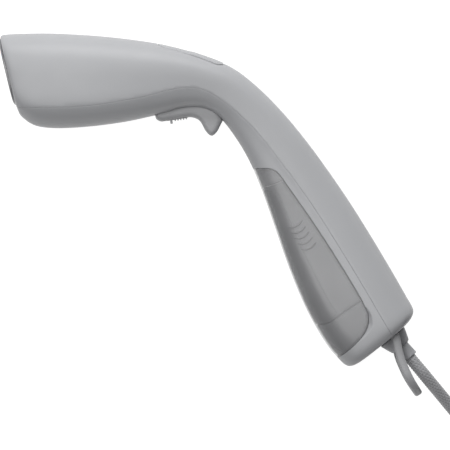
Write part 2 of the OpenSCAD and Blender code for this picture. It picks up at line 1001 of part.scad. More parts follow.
module plug_body() {
    color(DARK_GREY)
        plug_frame()
            difference() {
                rotate([0, 90, 0])
                    rotate_extrude($fn = 48)
                        polygon([
                            [cord_r + 0.01, 0], [5.2, 0], [7.6, 22], [11, 27], [17, 34], [18.4, 40],
                            [18.4, PLUG_L - 2], [17.6, PLUG_L], [0, PLUG_L], [0, 6], [cord_r + 0.01, 6],
                        ]);
                plug_pin_pair(PLUG_L - 12, 20, PIN_ROOT_R);
                earth_strips();
            }
}

module plug_pin_pair(from, length, r) {
    for (s = [-1, 1])
        rod(from, length, r, 0, s * PIN_OFFSET);
}

module earth_strips() {
    for (s = [-1, 1])
        block([PLUG_L - 12, PLUG_L], s > 0 ? [17.4, 18.6] : [-18.6, -17.4], [-3, 3]);
}

module plug_pins() {
    color(STEEL)
        plug_frame() {
            plug_pin_pair(PLUG_L - 12, 12, PIN_ROOT_R);
            plug_pin_pair(PLUG_L, plug_pin_l, plug_pin_r);
        }
}

module earth_clips() {
    color(STEEL) plug_frame() earth_strips();
}

upper_shell();
lower_shell();
top_panel();
indicator_lens();
button_board();
power_switch();
steam_plate();
plate_gasket();
boiler_body();
boiler_gasket();
boiler_lid();
boiler_screws();
heating_element();
thermostat();
thermal_fuse();
heat_shield();
steam_inlet();
delivery_hose();
pump_body();
pump_coil();
pump_mounts();
suction_hose();
tank_bay();
dock_spigot();
dock_seal();
control_board();
board_parts();
trigger_switch();
trigger_pin();
end_frame();
loop_pins();
cord_clamp();
clamp_screws();
shell_screws();
screw_cover();
inner_leads();
cord_end();
cord_guard();
trigger();
trigger_spring();
trigger_lock();
power_button();
tank_cover();
tank_vessel();
tank_cap();
tank_outlet();
pickup_tube();
filler_stopper();
hanging_loop();
cord();
cord_coil();
cord_tail();
cord_tie();
plug_body();
plug_pins();
earth_clips();
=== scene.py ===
import json
import math

import bpy
import numpy as np
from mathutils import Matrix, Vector
from mathutils.geometry import delaunay_2d_cdt


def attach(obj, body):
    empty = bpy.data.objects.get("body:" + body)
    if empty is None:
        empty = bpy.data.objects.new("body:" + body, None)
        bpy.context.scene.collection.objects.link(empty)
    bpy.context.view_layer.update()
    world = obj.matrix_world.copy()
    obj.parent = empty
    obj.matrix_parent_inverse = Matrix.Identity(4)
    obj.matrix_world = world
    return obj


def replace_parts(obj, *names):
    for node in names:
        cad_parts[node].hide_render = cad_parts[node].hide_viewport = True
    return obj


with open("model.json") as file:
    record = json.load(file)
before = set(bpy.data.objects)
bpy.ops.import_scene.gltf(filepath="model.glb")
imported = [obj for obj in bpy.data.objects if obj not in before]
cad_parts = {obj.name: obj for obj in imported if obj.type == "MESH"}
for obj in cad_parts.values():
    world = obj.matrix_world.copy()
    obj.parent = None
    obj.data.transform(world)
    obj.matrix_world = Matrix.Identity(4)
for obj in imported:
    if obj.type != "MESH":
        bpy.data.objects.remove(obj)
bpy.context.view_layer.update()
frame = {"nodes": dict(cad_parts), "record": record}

# Everything below is worked out in millimetres and turned into metres when a mesh is made.
MM = 0.001

# ---------- Driving dimensions, as in the CAD source ----------

HALF_WIDTH = 30.0
BACK_SQUARENESS = 2.7
FRONT_SQUARENESS = 4.0
GAP = 0.35
MID = HALF_WIDTH

# Cross-sections of the body: front edge x, y, back edge x, y, share of the half width
STATIONS = np.array([
    [-124, 70, -134.5, 113.5, 0.86],
    [-123.2, 67.4, -133.6, 114.8, 0.9],
    [-120.5, 62.5, -130, 115.4, 0.95],
    [-112, 57.2, -118.5, 115.9, 0.99],
    [-98, 55.7, -102, 116, 0.997],
    [-77.5, 56.8, -77.5, 114.8, 0.996],
    [-55, 59.8, -53, 112.4, 0.95],
    [-34, 64.3, -29, 108.6, 0.86],
    [-17.5, 68.4, -6, 102.3, 0.76],
    [-4.5, 68, 13.5, 94.2, 0.69],
    [6, 62, 29.5, 82.1, 0.65],
    [15.5, 50, 45, 66.6, 0.63],
    [24.3, 35.2, 59.5, 49.3, 0.64],
    [32.6, 16, 73.6, 30.3, 0.68],
    [41.6, -9.6, 89, 7.8, 0.75],
    [50.6, -35.2, 103.7, -15.7, 0.84],
    [61.4, -60.8, 116.5, -37.2, 0.93],
    [73.6, -82, 124.8, -51.8, 0.99],
    [82.6, -92.8, 128.3, -57.9, 1],
    [86.6, -96, 129.4, -61.9, 0.97],
    [90, -96.2, 127.6, -66.4, 0.9],
    [93.5, -94.6, 123.6, -70.9, 0.79],
])
SEAM = np.array([
    [-150, 68.6], [-104, 67.8], [-74, 69.4], [-45, 74.3], [-26, 79.2], [-11, 80.8],
    [4, 74.9], [25.6, 56.6], [47, 30.2], [66, 3.8], [89.4, -33.4], [114.5, -76], [128, -99],
])
TANK_BACK = np.array([[46.1, 22.4], [65.9, -6], [84.5, -35], [96, -54.5]])
TANK_FOOT = np.array([
    [99.5, -62.4], [99.8, -67.2], [98.6, -72.5], [95.4, -77.9], [91.1, -82.7], [85.8, -87.5],
    [82.6, -90.1],
])
TANK_WAY = math.radians(206)
RIM = np.array([-129.25, 91.75])
RIM_LEAN = math.radians(13.6)
CORD_ROOT = np.array([115.4, -77.0])
CORD_WAY = math.radians(-50)
LOOP_PIVOT = np.array([113.2, -72.8])
LOOP_HALF = 15.5
CORD_D = 8.0
COIL_CENTRE = np.array([220.0, -117.0])
COIL_RADIUS = 54.0
TIE_THICK = 1.2
PLUG_AT = np.array([259.0, -67.0, 19.0])
PLUG_WAY = math.radians(110)
CORD_ROUTE = np.array([
    [127.3, -91.2, 30], [129.9, -94.3, 30], [135.4, -100.8, 28.2], [142, -108.7, 23.2],
    [148, -115.8, 18], [154, -123, 12.8], [160, -130.1, 8.6], [166, -137.3, 6.2],
    [172, -144.4, 5.3], [178, -151.6, 5.2],
])
TAIL_ROUTE = np.array([
    [271.4, -101, 21.2], [268.4, -92, 21], [265.3, -83.5, 20.4], [262, -75, 19.6], [259, -67, 19],
])


# ---------- Curves ----------

def catmull(points, t):
    """Smooth curve through the points; t runs from 0 to len(points) - 1."""
    last = len(points) - 1
    t = np.atleast_1d(np.asarray(t, float))
    i = np.clip(np.floor(t).astype(int), 0, last - 1)
    f = (t - i)[:, None]
    a = points[np.maximum(i - 1, 0)]
    b = points[i]
    c = points[np.minimum(i + 1, last)]
    d = points[np.minimum(i + 2, last)]
    return 0.5 * (2 * b + (c - a) * f + (2 * a - 5 * b + 4 * c - d) * f**2
                  + (3 * b - a - 3 * c + d) * f**3)


def smooth_line(points, steps):
    """Catmull-Rom line with that many steps between neighbouring points."""
    points = np.asarray(points, float)
    return catmull(points, np.linspace(0, len(points) - 1, (len(points) - 1) * steps + 1))


def distances(points):
    """Distance along a line from its start to each of its points."""
    return np.concatenate([[0], np.cumsum(np.linalg.norm(np.diff(points, axis=0), axis=1))])


def even_line(points, step):
    """The same line with points an even step apart."""
    points = np.asarray(points, float)
    along = distances(points)
    count = max(2, int(round(along[-1] / step)) + 1)
    at = np.linspace(0, along[-1], count)
    return np.stack([np.interp(at, along, points[:, k]) for k in range(points.shape[1])], axis=1)


def unit(v):
    v = np.asarray(v, float)
    return v / np.maximum(np.linalg.norm(v, axis=-1, keepdims=True), 1e-12)


def whole_turn(count):
    """That many angles, evenly spaced round a circle."""
    return np.linspace(0, 2 * math.pi, count, endpoint=False)


def arc(centre, radius, start, end, count):
    """Points on an arc, angles in degrees."""
    a = np.radians(np.linspace(start, end, count))
    return np.stack([centre[0] + radius * np.cos(a), centre[1] + radius * np.sin(a)], axis=1)


# ---------- Mesh making ----------

SHARP_ANGLE = math.radians(38)


def add_object(name, data):
    made = bpy.data.objects.new(name, data)
    bpy.context.scene.collection.objects.link(made)
    return made


def new_mesh(name, verts, faces):
    """A mesh from points in millimetres."""
    mesh = bpy.data.meshes.new(name)
    mesh.from_pydata((np.asarray(verts) * MM).tolist(), [], [list(map(int, f)) for f in faces])
    return mesh


def smooth_shading(mesh, sharp=SHARP_ANGLE):
    mesh.polygons.foreach_set("use_smooth", [True] * len(mesh.polygons))
    mesh.set_sharp_from_angle(angle=sharp)


def make_mesh(name, verts, faces, body, slot, look=None, uvs=None, sharp=SHARP_ANGLE):
    """A piece riding on its body, in the look of its slot unless another is named."""
    mesh = new_mesh(name, verts, faces)
    mesh.validate()
    if uvs is not None:
        layer = mesh.uv_layers.new(name="UVMap")
        corners = np.empty(len(mesh.loops), dtype=int)
        mesh.loops.foreach_get("vertex_index", corners)
        layer.data.foreach_set("uv", np.asarray(uvs)[corners].ravel())
    mesh.update()
    smooth_shading(mesh, sharp)
    piece = add_object(name, mesh)
    mesh.materials.append(LOOKS[look or slot])
    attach(piece, body)
    return piece


def ring_faces(rings, count, closed_ends=True, loop=False):
    """Faces of a tube of rings that all have count points."""
    faces = []
    last = rings if loop else rings - 1
    for i in range(last):
        a = i * count
        b = ((i + 1) % rings) * count
        for k in range(count):
            n = (k + 1) % count
            faces.append((a + k, a + n, b + n, b + k))
    if closed_ends and not loop:
        faces.append(tuple(range(count - 1, -1, -1)))
        faces.append(tuple((rings - 1) * count + k for k in range(count)))
    return faces


def lathe(profile, segments=96, closed_ends=False):
    """Points and faces about +X from (x, radius) points."""
    a = whole_turn(segments)
    rings = [np.column_stack([np.full(segments, x), r * np.cos(a), r * np.sin(a)]) for x, r in profile]
    return np.concatenate(rings), ring_faces(len(rings), segments, closed_ends)


def rounded(profile, radius, steps=4):
    """An open profile whose inner corners are rounded by about that radius."""
    profile = [np.asarray(p, float) for p in profile]
    out = [profile[0]]
    for before, here, after in zip(profile, profile[1:], profile[2:]):
        r = min(radius, 0.45 * np.linalg.norm(before - here), 0.45 * np.linalg.norm(after - here))
        start = here + unit(before - here) * r
        end = here + unit(after - here) * r
        for t in np.linspace(0, 1, steps + 1):
            out.append((1 - t)**2 * start + 2 * t * (1 - t) * here + t**2 * end)
    out.append(profile[-1])
    return np.array(out)


def turned(verts, angle, origin):
    """Points turned about Z by angle, then moved to origin."""
    c, s = math.cos(angle), math.sin(angle)
    spin = np.array([[c, -s, 0], [s, c, 0], [0, 0, 1]])
    return np.asarray(verts) @ spin.T + np.asarray(origin, float)


def make_spun(name, profile, origin, way, body, slot, segments=96):
    """A lathed piece whose axis leaves origin at the angle way."""
    verts, faces = lathe(profile, segments)
    return make_mesh(name, turned(verts, way, (*origin, MID)), faces, body, slot)


# ---------- Casing surface ----------

LAST = len(STATIONS) - 1
CAP = LAST + 1.0
GUARD_HOLE_R = 7.0


def squareness(share, front):
    """Squareness of the section; on the end face it turns into an ellipse."""
    power = np.where(front, FRONT_SQUARENESS, BACK_SQUARENESS)
    return power + (2 - power) * share


def section(u):
    """Middle, upward direction, half height, half width and share of the end face at u.

    Past the last station the section shrinks across the flat end face to the cord guard's hole."""
    u = np.atleast_1d(np.asarray(u, float))
    row = catmull(STATIONS, np.minimum(u, LAST))
    front, back = row[:, 0:2], row[:, 2:4]
    middle = (front + back) / 2
    up = unit(back - front)
    tall = np.linalg.norm(back - front, axis=1) / 2
    wide = row[:, 4] * HALF_WIDTH
    share = np.clip(u - LAST, 0, 1)
    hole = middle + up * ((CORD_ROOT - middle) * up).sum(axis=1)[:, None]
    middle = middle + (hole - middle) * share[:, None]
    tall = tall + (GUARD_HOLE_R - tall) * share
    wide = wide + (GUARD_HOLE_R - wide) * share
    return middle, up, tall, wide, share


def surface(u, phi):
    """Point of the casing's skin at section u and angle phi: 90 is the back, -90 the front."""
    u = np.atleast_1d(np.asarray(u, float))
    phi = np.atleast_1d(np.asarray(phi, float))
    middle, up, tall, wide, share = section(u)
    c, s = np.cos(phi), np.sin(phi)
    power = squareness(share, s < 0)
    r = (np.abs(c / wide)**power + np.abs(s / tall)**power)**(-1 / power)
    xy = middle + up * (r * s)[:, None]
    return np.column_stack([xy, MID + r * c - tuck(u, phi, r * c)])


TUCK = 1.7


def tuck(u, phi, z):
    """How far the skin below the parting line is drawn in towards the middle plane."""
    if SEAM_PHI is None:
        return 0.0
    near = np.where(phi < -math.pi / 2, -math.pi - phi, phi)
    start = np.interp(u, SEAM_U, SEAM_PHI)
    down = np.clip((start - near) / np.maximum(start + math.pi / 2, 1e-6), 0, 1)
    fade = np.clip((LAST - u) / 1.5, 0, 1) * np.clip(np.abs(z) / 12, 0, 1)
    return np.sign(z) * TUCK * fade * np.sin(math.pi * down**0.8)


SEAM_PHI = None


def surface_normal(u, phi):
    step = 1e-3
    u = np.clip(u, step, CAP - step)
    along = surface(u + step, phi) - surface(u - step, phi)
    around = surface(u, phi + step) - surface(u, phi - step)
    return unit(np.cross(along, around))


TABLE_U = np.linspace(0, LAST, 4001)
TABLE_MID, TABLE_UP, TABLE_TALL, TABLE_WIDE = section(TABLE_U)[:4]
ALL_U = np.linspace(0, CAP, 4401)
ALL_MID = section(ALL_U)[0]
SPINE = distances(ALL_MID)
CAP_LENGTH = 18.0
SPINE = np.where(ALL_U > LAST, np.interp(LAST, ALL_U, SPINE) + (ALL_U - LAST) * CAP_LENGTH, SPINE)
GIRTH = 26.0


def to_domain(u, phi):
    """Flat coordinates in about millimetres: along the spine, and round the section."""
    return np.column_stack([np.interp(u, ALL_U, SPINE), np.asarray(phi) * GIRTH])


def side_angle(u, v):
    """Angle on the +Z side of the skin point at height v above the section's middle."""
    _, _, tall, wide, share = section(u)
    power = squareness(share, np.asarray(v) < 0)
    q = np.clip(np.abs(v) / tall, 0, 1)
    return np.arctan2(v, wide * (1 - q**power)**(1 / power))


def crossing(off, heights):
    """Where off changes sign nearest to height 0: index, share of the step, height."""
    signs = np.nonzero(off[:-1] * off[1:] <= 0)[0]
    k = signs[np.argmin(np.abs(heights[signs]))] if len(signs) else int(np.argmin(np.abs(off)))
    n = min(k + 1, len(off) - 1)
    span = off[k] - off[n]
    f = float(np.clip(off[k] / span if span else 0.0, 0, 1))
    return k, f, heights[k] * (1 - f) + heights[n] * f


def locate(xy):
    """Section u, height v and v over the half height for points seen from the side."""
    xy = np.atleast_2d(np.asarray(xy, float))
    u = np.zeros(len(xy))
    v = np.zeros(len(xy))
    for i, p in enumerate(xy):
        d = p - TABLE_MID
        off = TABLE_UP[:, 0] * d[:, 1] - TABLE_UP[:, 1] * d[:, 0]
        k, f, v[i] = crossing(off, (d * TABLE_UP).sum(axis=1))
        u[i] = TABLE_U[k] + f * (TABLE_U[1] - TABLE_U[0])
    return u, v, v / section(u)[2]


def seam_height(u):
    """Height v of the parting line above the middle of each section."""
    line = smooth_line(SEAM, 40)
    middle, up = section(u)[:2]
    out = np.zeros(len(u))
    for i in range(len(u)):
        if u[i] < LAST:
            d = line - middle[i]
            out[i] = crossing(up[i][0] * d[:, 1] - up[i][1] * d[:, 0], d @ up[i])[2]
        else:
            out[i] = (SEAM[-2] - middle[i]) @ up[i]
    return out


SEAM_U = np.linspace(0, CAP, 520)
SEAM_PHI = side_angle(SEAM_U, seam_height(SEAM_U))


def shell_loop(upper):
    """Outline of one shell in the flat domain, from seam to seam round the back or the front."""
    # The lower shell starts where the seam leaves the front edge
    used = slice(None) if upper else SEAM_PHI > 0.04 - math.pi / 2
    near = to_domain(SEAM_U[used], SEAM_PHI[used])
    far_phi = (math.pi - SEAM_PHI) if upper else (-math.pi - SEAM_PHI)
    far = to_domain(SEAM_U[used], far_phi[used])
    end = np.column_stack([np.full(60, near[-1, 0]), np.linspace(near[-1, 1], far[-1, 1], 60)])
    # The upper shell starts with the rim of the head, the lower one in a point
    count = 320 if upper else 6
    start = np.column_stack([np.full(count, near[0, 0]), np.linspace(far[0, 1], near[0, 1], count)])
    return np.concatenate([near, end[1:-1], far[::-1], start[1:-1]])


def side_loop(path, step=0.9):
    """A closed loop round the front of the handle whose side outline is the path."""
    path = np.asarray(path, float)
    inside = np.nonzero(np.abs(locate(path)[2]) < 1)[0]
    first, last = inside[0], inside[-1]

    def front_edge(a, b):
        """Point of the front edge between a, on the skin, and b, off it."""
        for _ in range(40):
            m = (a + b) / 2
            if abs(locate(m)[2][0]) < 1:
                a = m
            else:
                b = m
        return a

    points = np.array([
        front_edge(path[first], path[first - 1]), *path[first:last + 1],
        front_edge(path[last], path[last + 1]),
    ])
    for _ in range(14):
        u, v, _ = locate(points)
        near = to_domain(u, side_angle(u, v))
        wide = np.nonzero(np.linalg.norm(np.diff(near, axis=0), axis=1) > step)[0]
        if not len(wide):
            break
        extra = (points[wide] + points[wide + 1]) / 2
        points = np.insert(points, wide + 1, extra, axis=0)
    near[[0, -1], 1] = -math.pi / 2 * GIRTH
    far = near.copy()
    far[:, 1] = -math.pi * GIRTH - far[:, 1]
    return np.concatenate([near, far[::-1][1:-1]])


def tank_outline():
    """Side outline of the tank, run on past the front of the handle at both ends."""
    way = np.array([math.cos(TANK_WAY), math.sin(TANK_WAY)])
    return np.concatenate([
        [[10, 29.6], [36, 29.6]], arc((35.5, 19), 10.6, 80, 42, 8), smooth_line(TANK_BACK, 8),
        smooth_line(TANK_FOOT, 5), [TANK_FOOT[-1] + 40 * way],
    ])


def skin_point(x, z, side):
    """Flat-domain point of the front (side -1) or back (side 1) skin at x and offset z."""
    x, z = np.broadcast_arrays(np.asarray(x, float), np.asarray(z, float))
    power = float(squareness(0, side < 0))
    out = []
    for xi, zi in zip(x.ravel(), z.ravel()):
        q = np.clip(abs(zi) / TABLE_WIDE, 0, 1)
        height = side * TABLE_TALL * (1 - q**power)**(1 / power)
        px = TABLE_MID[:, 0] + TABLE_UP[:, 0] * height
        k = int(np.argmin(np.abs(px - xi)))
        phi = math.atan2(height[k], zi)
        if side < 0 and phi > 0:
            phi -= 2 * math.pi
        out.append(to_domain([TABLE_U[k]], [phi])[0])
    return np.array(out)


def signed_area(loop):
    """Area inside a closed loop, below 0 where the loop runs clockwise."""
    after = np.roll(loop, -1, axis=0)
    return 0.5 * np.sum(loop[:, 0] * after[:, 1] - after[:, 0] * loop[:, 1])


def inset(loop, d):
    """A closed loop moved inwards by d, or outwards where d is negative."""
    before = loop - np.roll(loop, 1, axis=0)
    after = np.roll(loop, -1, axis=0) - loop
    along = unit(unit(before) + unit(after))
    normal = np.column_stack([-along[:, 1], along[:, 0]])
    return loop + normal * (d if signed_area(loop) > 0 else -d)


def in_loop(points, loop):
    """Which points are inside a closed loop."""
    x, y = points[:, 0], points[:, 1]
    inside = np.zeros(len(points), bool)
    for (x0, y0), (x1, y1) in zip(loop, np.roll(loop, -1, axis=0)):
        if y0 != y1:
            inside ^= ((y0 > y) != (y1 > y)) & (x < (x1 - x0) * (y - y0) / (y1 - y0) + x0)
    return inside


BATCH = 2000


def loop_distance(points, loops):
    """Distance from each point to the nearest of the closed loops."""
    best = np.full(len(points), 1e9)
    for loop in loops:
        d = np.roll(loop, -1, axis=0) - loop
        size = np.maximum((d * d).sum(axis=1), 1e-12)
        for start in range(0, len(points), BATCH):
            batch = slice(start, start + BATCH)
            rel = points[batch, None, :] - loop[None]
            t = np.clip((rel * d).sum(axis=2) / size, 0, 1)
            gap = np.linalg.norm(rel - t[..., None] * d, axis=2).min(axis=1)
            best[batch] = np.minimum(best[batch], gap)
    return best


def triangulate(outer, holes, spacing, lines):
    """Triangles over the region inside outer and outside the holes: points and faces.

    lines are further closed loops that the triangles follow."""

    def in_region(points):
        keep = in_loop(points, outer)
        for hole in holes:
            keep &= ~in_loop(points, hole)
        return keep

    low, high = outer.min(axis=0), outer.max(axis=0)
    xs = np.arange(low[0] + spacing / 2, high[0], spacing)
    ys = np.arange(low[1] + spacing / 2, high[1], spacing)
    gx, gy = np.meshgrid(xs, ys)
    gx = gx + (np.arange(len(ys)) % 2)[:, None] * spacing / 2
    grid = np.column_stack([gx.ravel(), gy.ravel()])
    grid = grid[in_region(grid)]
    loops = [outer, *holes, *lines]
    grid = grid[loop_distance(grid, loops) > 0.55 * spacing]
    verts = []
    edges = []
    for loop in loops:
        start, count = len(verts), len(loop)
        verts.extend(loop.tolist())
        edges.extend((start + k, start + (k + 1) % count) for k in range(count))
    verts.extend(grid.tolist())
    points, _, faces, *_ = delaunay_2d_cdt([Vector(p) for p in verts], edges, [], 0, 1e-5)
    points = np.array([[p[0], p[1]] for p in points])
    faces = np.array([f for f in faces])
    faces = faces[in_region(points[faces].mean(axis=1))]
    used, index = np.unique(faces, return_inverse=True)
    return points[used], index.reshape(-1, 3)


def closed_shell(faces, count):
    """Faces of a shell: triangles, the same count points further on turned over, walls between."""
    open_edges = {}
    for a, b, c in faces:
        for i, j in ((a, b), (b, c), (c, a)):
            if (j, i) in open_edges:
                del open_edges[(j, i)]
            else:
                open_edges[(i, j)] = True
    walls = [(j, i, i + count, j + count) for i, j in open_edges]
    return [tuple(f) for f in faces] + [tuple(f[::-1] + count) for f in faces] + walls


def rounding(points, loops, radius):
    """How far a surface drops towards the loops so that its edges are rounded by that radius."""
    edge = np.clip(loop_distance(points, loops) / radius, 0, 1)
    return radius * (1 - np.sqrt(np.maximum(0, 1 - (1 - edge)**2)))


def casing(points):
    """Skin points and normals at points of the flat domain."""
    u, phi = np.interp(points[:, 0], SPINE, ALL_U), points[:, 1] / GIRTH
    return surface(u, phi), surface_normal(u, phi)


def skin_patch(name, outer, holes, body, slot, look=None, lip=0.4, thick=2.0, spacing=1.5,
               place=casing, depth=0.0, creases=(), lift=None):
    """Part of a surface as a closed shell whose outer edges are rounded by lip.

    place turns flat points into surface points and normals, depth moves the shell inwards,
    creases are more loops that the mesh follows, and lift raises its outside."""
    lines = list(creases)
    for d in (0.35 * lip, lip):
        lines += [inset(outer, d), *(inset(hole, -d) for hole in holes)]
    points, faces = triangulate(outer, holes, spacing, lines)
    skin, normal = place(points)
    skin = skin - normal * depth
    outside = skin - normal * rounding(points, [outer, *holes], lip)[:, None]
    if lift is not None:
        outside = outside + normal * lift(skin)[:, None]
    inside = skin - normal * thick
    # Turn the triangles so that they face outwards
    a, b, c = (outside[faces[:, k]] for k in range(3))
    facing = (np.cross(b - a, c - a) * normal[faces[:, 0]]).sum(axis=1)
    faces = np.where((facing < 0)[:, None], faces[:, ::-1], faces)
    verts = np.concatenate([outside, inside])
    return make_mesh(name, verts, closed_shell(faces, len(points)), body, slot, look)


# ---------- Materials ----------

# Every look under its name; each material slot of the CAD record has one of the same name
LOOKS = {}


def new_material(name):
    """The shader of a new look."""
    material = bpy.data.materials.new(name)
    material.use_nodes = True
    LOOKS[name] = material
    return material.node_tree.nodes["Principled BSDF"]


def setting(made, **inputs):
    """A shader node with inputs set by name, _ standing for a space."""
    for key, value in inputs.items():
        made.inputs[key.replace("_", " ")].default_value = value
    return made


def node(beside, kind, **inputs):
    """A new node in the tree of another node or socket."""
    return setting(beside.id_data.nodes.new(kind), **inputs)


def link(source, target):
    source.id_data.links.new(source, target)


def object_noise(shader, scale, detail):
    """Noise in the object's own coordinates."""
    noise = node(shader, "ShaderNodeTexNoise", Scale=scale, Detail=detail, Roughness=0.55)
    link(node(shader, "ShaderNodeTexCoord").outputs["Object"], noise.inputs["Vector"])
    return noise.outputs["Fac"]


def tint(shader, value, colour, stops):
    """Base colour that follows a value; the stops are (value, share of the colour)."""
    ramp = node(shader, "ShaderNodeValToRGB")
    elements = ramp.color_ramp.elements
    places = [elements[0], *(elements.new(at) for at, _ in stops[1:-1]), elements[-1]]
    for element, (at, share) in zip(places, stops):
        element.position = at
        element.color = (*(min(1.0, c * share) for c in colour), 1)
    link(value, ramp.inputs["Fac"])
    link(ramp.outputs["Color"], shader.inputs["Base Color"])


def remap(value, low, high):
    """The value's range from 0 to 1 turned into low to high."""
    made = node(value, "ShaderNodeMapRange", To_Min=low, To_Max=high)
    link(value, made.inputs["Value"])
    return made.outputs["Result"]


def vary_roughness(shader, value, low, high):
    link(remap(value, low, high), shader.inputs["Roughness"])


def add_bump(shader, height, strength, distance):
    bump = node(shader, "ShaderNodeBump", Strength=strength, Distance=distance)
    link(height, bump.inputs["Height"])
    link(bump.outputs["Normal"], shader.inputs["Normal"])


def moulded(name, colour, rough, spread, grain=2600.0, strength=0.12, coat=0.0):
    """Moulded plastic or rubber: fine spark-eroded grain and slight unevenness of tone."""
    shader = new_material(name)
    tint(shader, object_noise(shader, 22.0, 3.0), colour, [(0.3, 1 - spread), (0.7, 1 + spread)])
    vary_roughness(shader, object_noise(shader, 140.0, 4.0), rough - 0.06, rough + 0.06)
    add_bump(shader, object_noise(shader, grain, 2.0), strength, 0.00012)
    setting(shader, Coat_Weight=coat)


def metal(name, colour, rough):
    """Metal with faint brushing and tarnish."""
    shader = new_material(name)
    tint(shader, object_noise(shader, 160.0, 4.0), colour, [(0.25, 0.85), (0.75, 1.08)])
    setting(shader, Metallic=1.0)
    brushing = object_noise(shader, 900.0, 3.0)
    vary_roughness(shader, brushing, rough - 0.08, rough + 0.1)
    add_bump(shader, brushing, 0.1, 0.0001)


def clear_plastic(name, colour, alpha, rough):
    """Smoky see-through plastic."""
    shader = new_material(name)
    tint(shader, object_noise(shader, 60.0, 3.0), colour, [(0.3, 0.94), (0.7, 1.06)])
    vary_roughness(shader, object_noise(shader, 400.0, 2.0), rough - 0.03, rough + 0.03)
    setting(shader, Alpha=alpha)


def maths(operation, first, *others):
    """Maths node on a socket and further sockets or numbers."""
    made = node(first, "ShaderNodeMath")
    made.operation = operation
    link(first, made.inputs[0])
    for socket, value in zip(made.inputs[1:], others):
        if isinstance(value, (int, float)):
            socket.default_value = value
        else:
            link(value, socket)
    return made.outputs[0]


# Strands of the braid: their pitch along the cord, and how many the crossing family has round it
BRAID_PITCH = 1.9
CROSSING_STRANDS = 12


def braid(name, colour):
    """Ribbed textile braid: two crossing families of strands, from the cord's own coordinates."""
    shader = new_material(name)
    split = node(shader, "ShaderNodeSeparateXYZ")
    link(node(shader, "ShaderNodeTexCoord").outputs["UV"], split.inputs["Vector"])

    def wave(along, around):
        """UV x runs in millimetres along the cord, UV y in turns round it."""
        turn = maths("MULTIPLY", split.outputs["Y"], around)
        return maths("SINE", maths("MULTIPLY_ADD", split.outputs["X"], along, turn))

    whole = 2 * math.pi
    crossing_wave = wave(whole / BRAID_PITCH / 2, -whole * CROSSING_STRANDS)
    strands = maths("MAXIMUM", wave(whole / BRAID_PITCH, whole), crossing_wave)
    # The colour follows the strands: darker in the grooves between them, lighter on their crests. This is
    # partly the braid's pattern, partly painted shade in the grooves and painted highlight on the crests.
    tint(shader, remap(strands, 0.0, 1.0), colour, [(0.0, 0.82), (0.6, 1.0), (1.0, 1.12)])
    setting(shader, Roughness=0.8, Sheen_Weight=0.35)
    add_bump(shader, strands, 0.5, 0.0003)


def woven(name, colour):
    """Coarse woven strap."""
    shader = new_material(name)
    threads = object_noise(shader, 1500.0, 4.0)
    # The threads' tone varies at random and is darker where the weave's bump is low: partly painted shade in
    # its hollows
    tint(shader, threads, colour, [(0.3, 0.6), (0.7, 1.5)])
    setting(shader, Roughness=0.9, Sheen_Weight=0.4)
    add_bump(shader, threads, 0.7, 0.0004)


moulded("shell_plastic", (0.336, 0.34, 0.352), 0.5, 0.015, grain=3200, strength=0.06)
moulded("trim_plastic", (0.32, 0.322, 0.332), 0.5, 0.02, grain=3000, strength=0.08)
moulded("guard_rubber", (0.3, 0.303, 0.316), 0.6, 0.03, grain=2400, strength=0.15)
clear_plastic("smoke_plastic", (0.302, 0.304, 0.312), 0.36, 0.3)
# The inner vessel is one plastic. These three tones of it are painted light and shade on its walls: darker on
# the front wall, lighter on the back wall and the foot.
moulded("vessel_plastic", (0.19, 0.192, 0.2), 0.4, 0.02, strength=0.04)
moulded("vessel_painted_light_plastic", (0.25, 0.252, 0.262), 0.4, 0.02, strength=0.04)
moulded("vessel_foot_painted_light_plastic", (0.21, 0.212, 0.222), 0.4, 0.02, strength=0.04)
moulded("cap_plastic", (0.4, 0.402, 0.412), 0.45, 0.02, strength=0.04)
moulded("plate_coating", (0.192, 0.192, 0.2), 0.35, 0.05, grain=2000, strength=0.2, coat=0.2)
clear_plastic("indicator_clear", (0.8, 0.81, 0.83), 0.85, 0.15)
metal("cast_aluminium", (0.66, 0.67, 0.69), 0.45)
metal("steel", (0.6, 0.6, 0.62), 0.3)
metal("element_sheath", (0.42, 0.3, 0.24), 0.4)
metal("brass_fitting", (0.72, 0.55, 0.26), 0.3)
metal("copper_winding", (0.62, 0.32, 0.16), 0.35)
metal("plug_metal", (0.78, 0.77, 0.75), 0.18)
moulded("seal_rubber", (0.05, 0.05, 0.055), 0.65, 0.1)
moulded("hose_silicone", (0.75, 0.75, 0.73), 0.35, 0.03)
moulded("inner_plastic", (0.55, 0.54, 0.50), 0.5, 0.04)
moulded("ceramic_fuse", (0.82, 0.81, 0.77), 0.2, 0.03)
moulded("circuit_board", (0.04, 0.18, 0.08), 0.35, 0.15)
moulded("black_plastic", (0.03, 0.03, 0.035), 0.45, 0.1)
moulded("lead_sleeve", (0.05, 0.05, 0.055), 0.5, 0.1)
braid("cord_braid", (0.315, 0.317, 0.328))
woven("tie_fabric", (0.03, 0.03, 0.034))
moulded("plug_plastic", (0.2, 0.202, 0.212), 0.5, 0.03)


# ---------- Camera ----------

VIEW_WIDTH = 288.0
VIEW_MIDDLE = (9.0, -6.4)
CAMERA_HEIGHT = 2600.0


def make_camera():
    """Straight above the object, at the photograph's viewing angle."""
    data = bpy.data.cameras.new("camera")
    data.sensor_width = 36.0
    data.lens = data.sensor_width * CAMERA_HEIGHT / VIEW_WIDTH
    data.clip_end = 100.0
    camera = add_object("camera", data)
    camera.location = [v * MM for v in (*VIEW_MIDDLE, MID + CAMERA_HEIGHT)]
    bpy.context.scene.camera = camera


make_camera()


# ---------- Cord ----------

# Radius and layer of each turn of the coil, and the angles in degrees at which it starts and ends
COIL_TURNS = [(54, 0), (46, 0), (38, 0), (38, 1), (46, 1), (54, 1), (46, 2), (54, 2)]
COIL_START = 220.0
COIL_END = 17.3
COIL_STEP = 4.0
# Degrees at the end of each turn in which it shifts over to the next
SHIFT_SPAN = 50.0


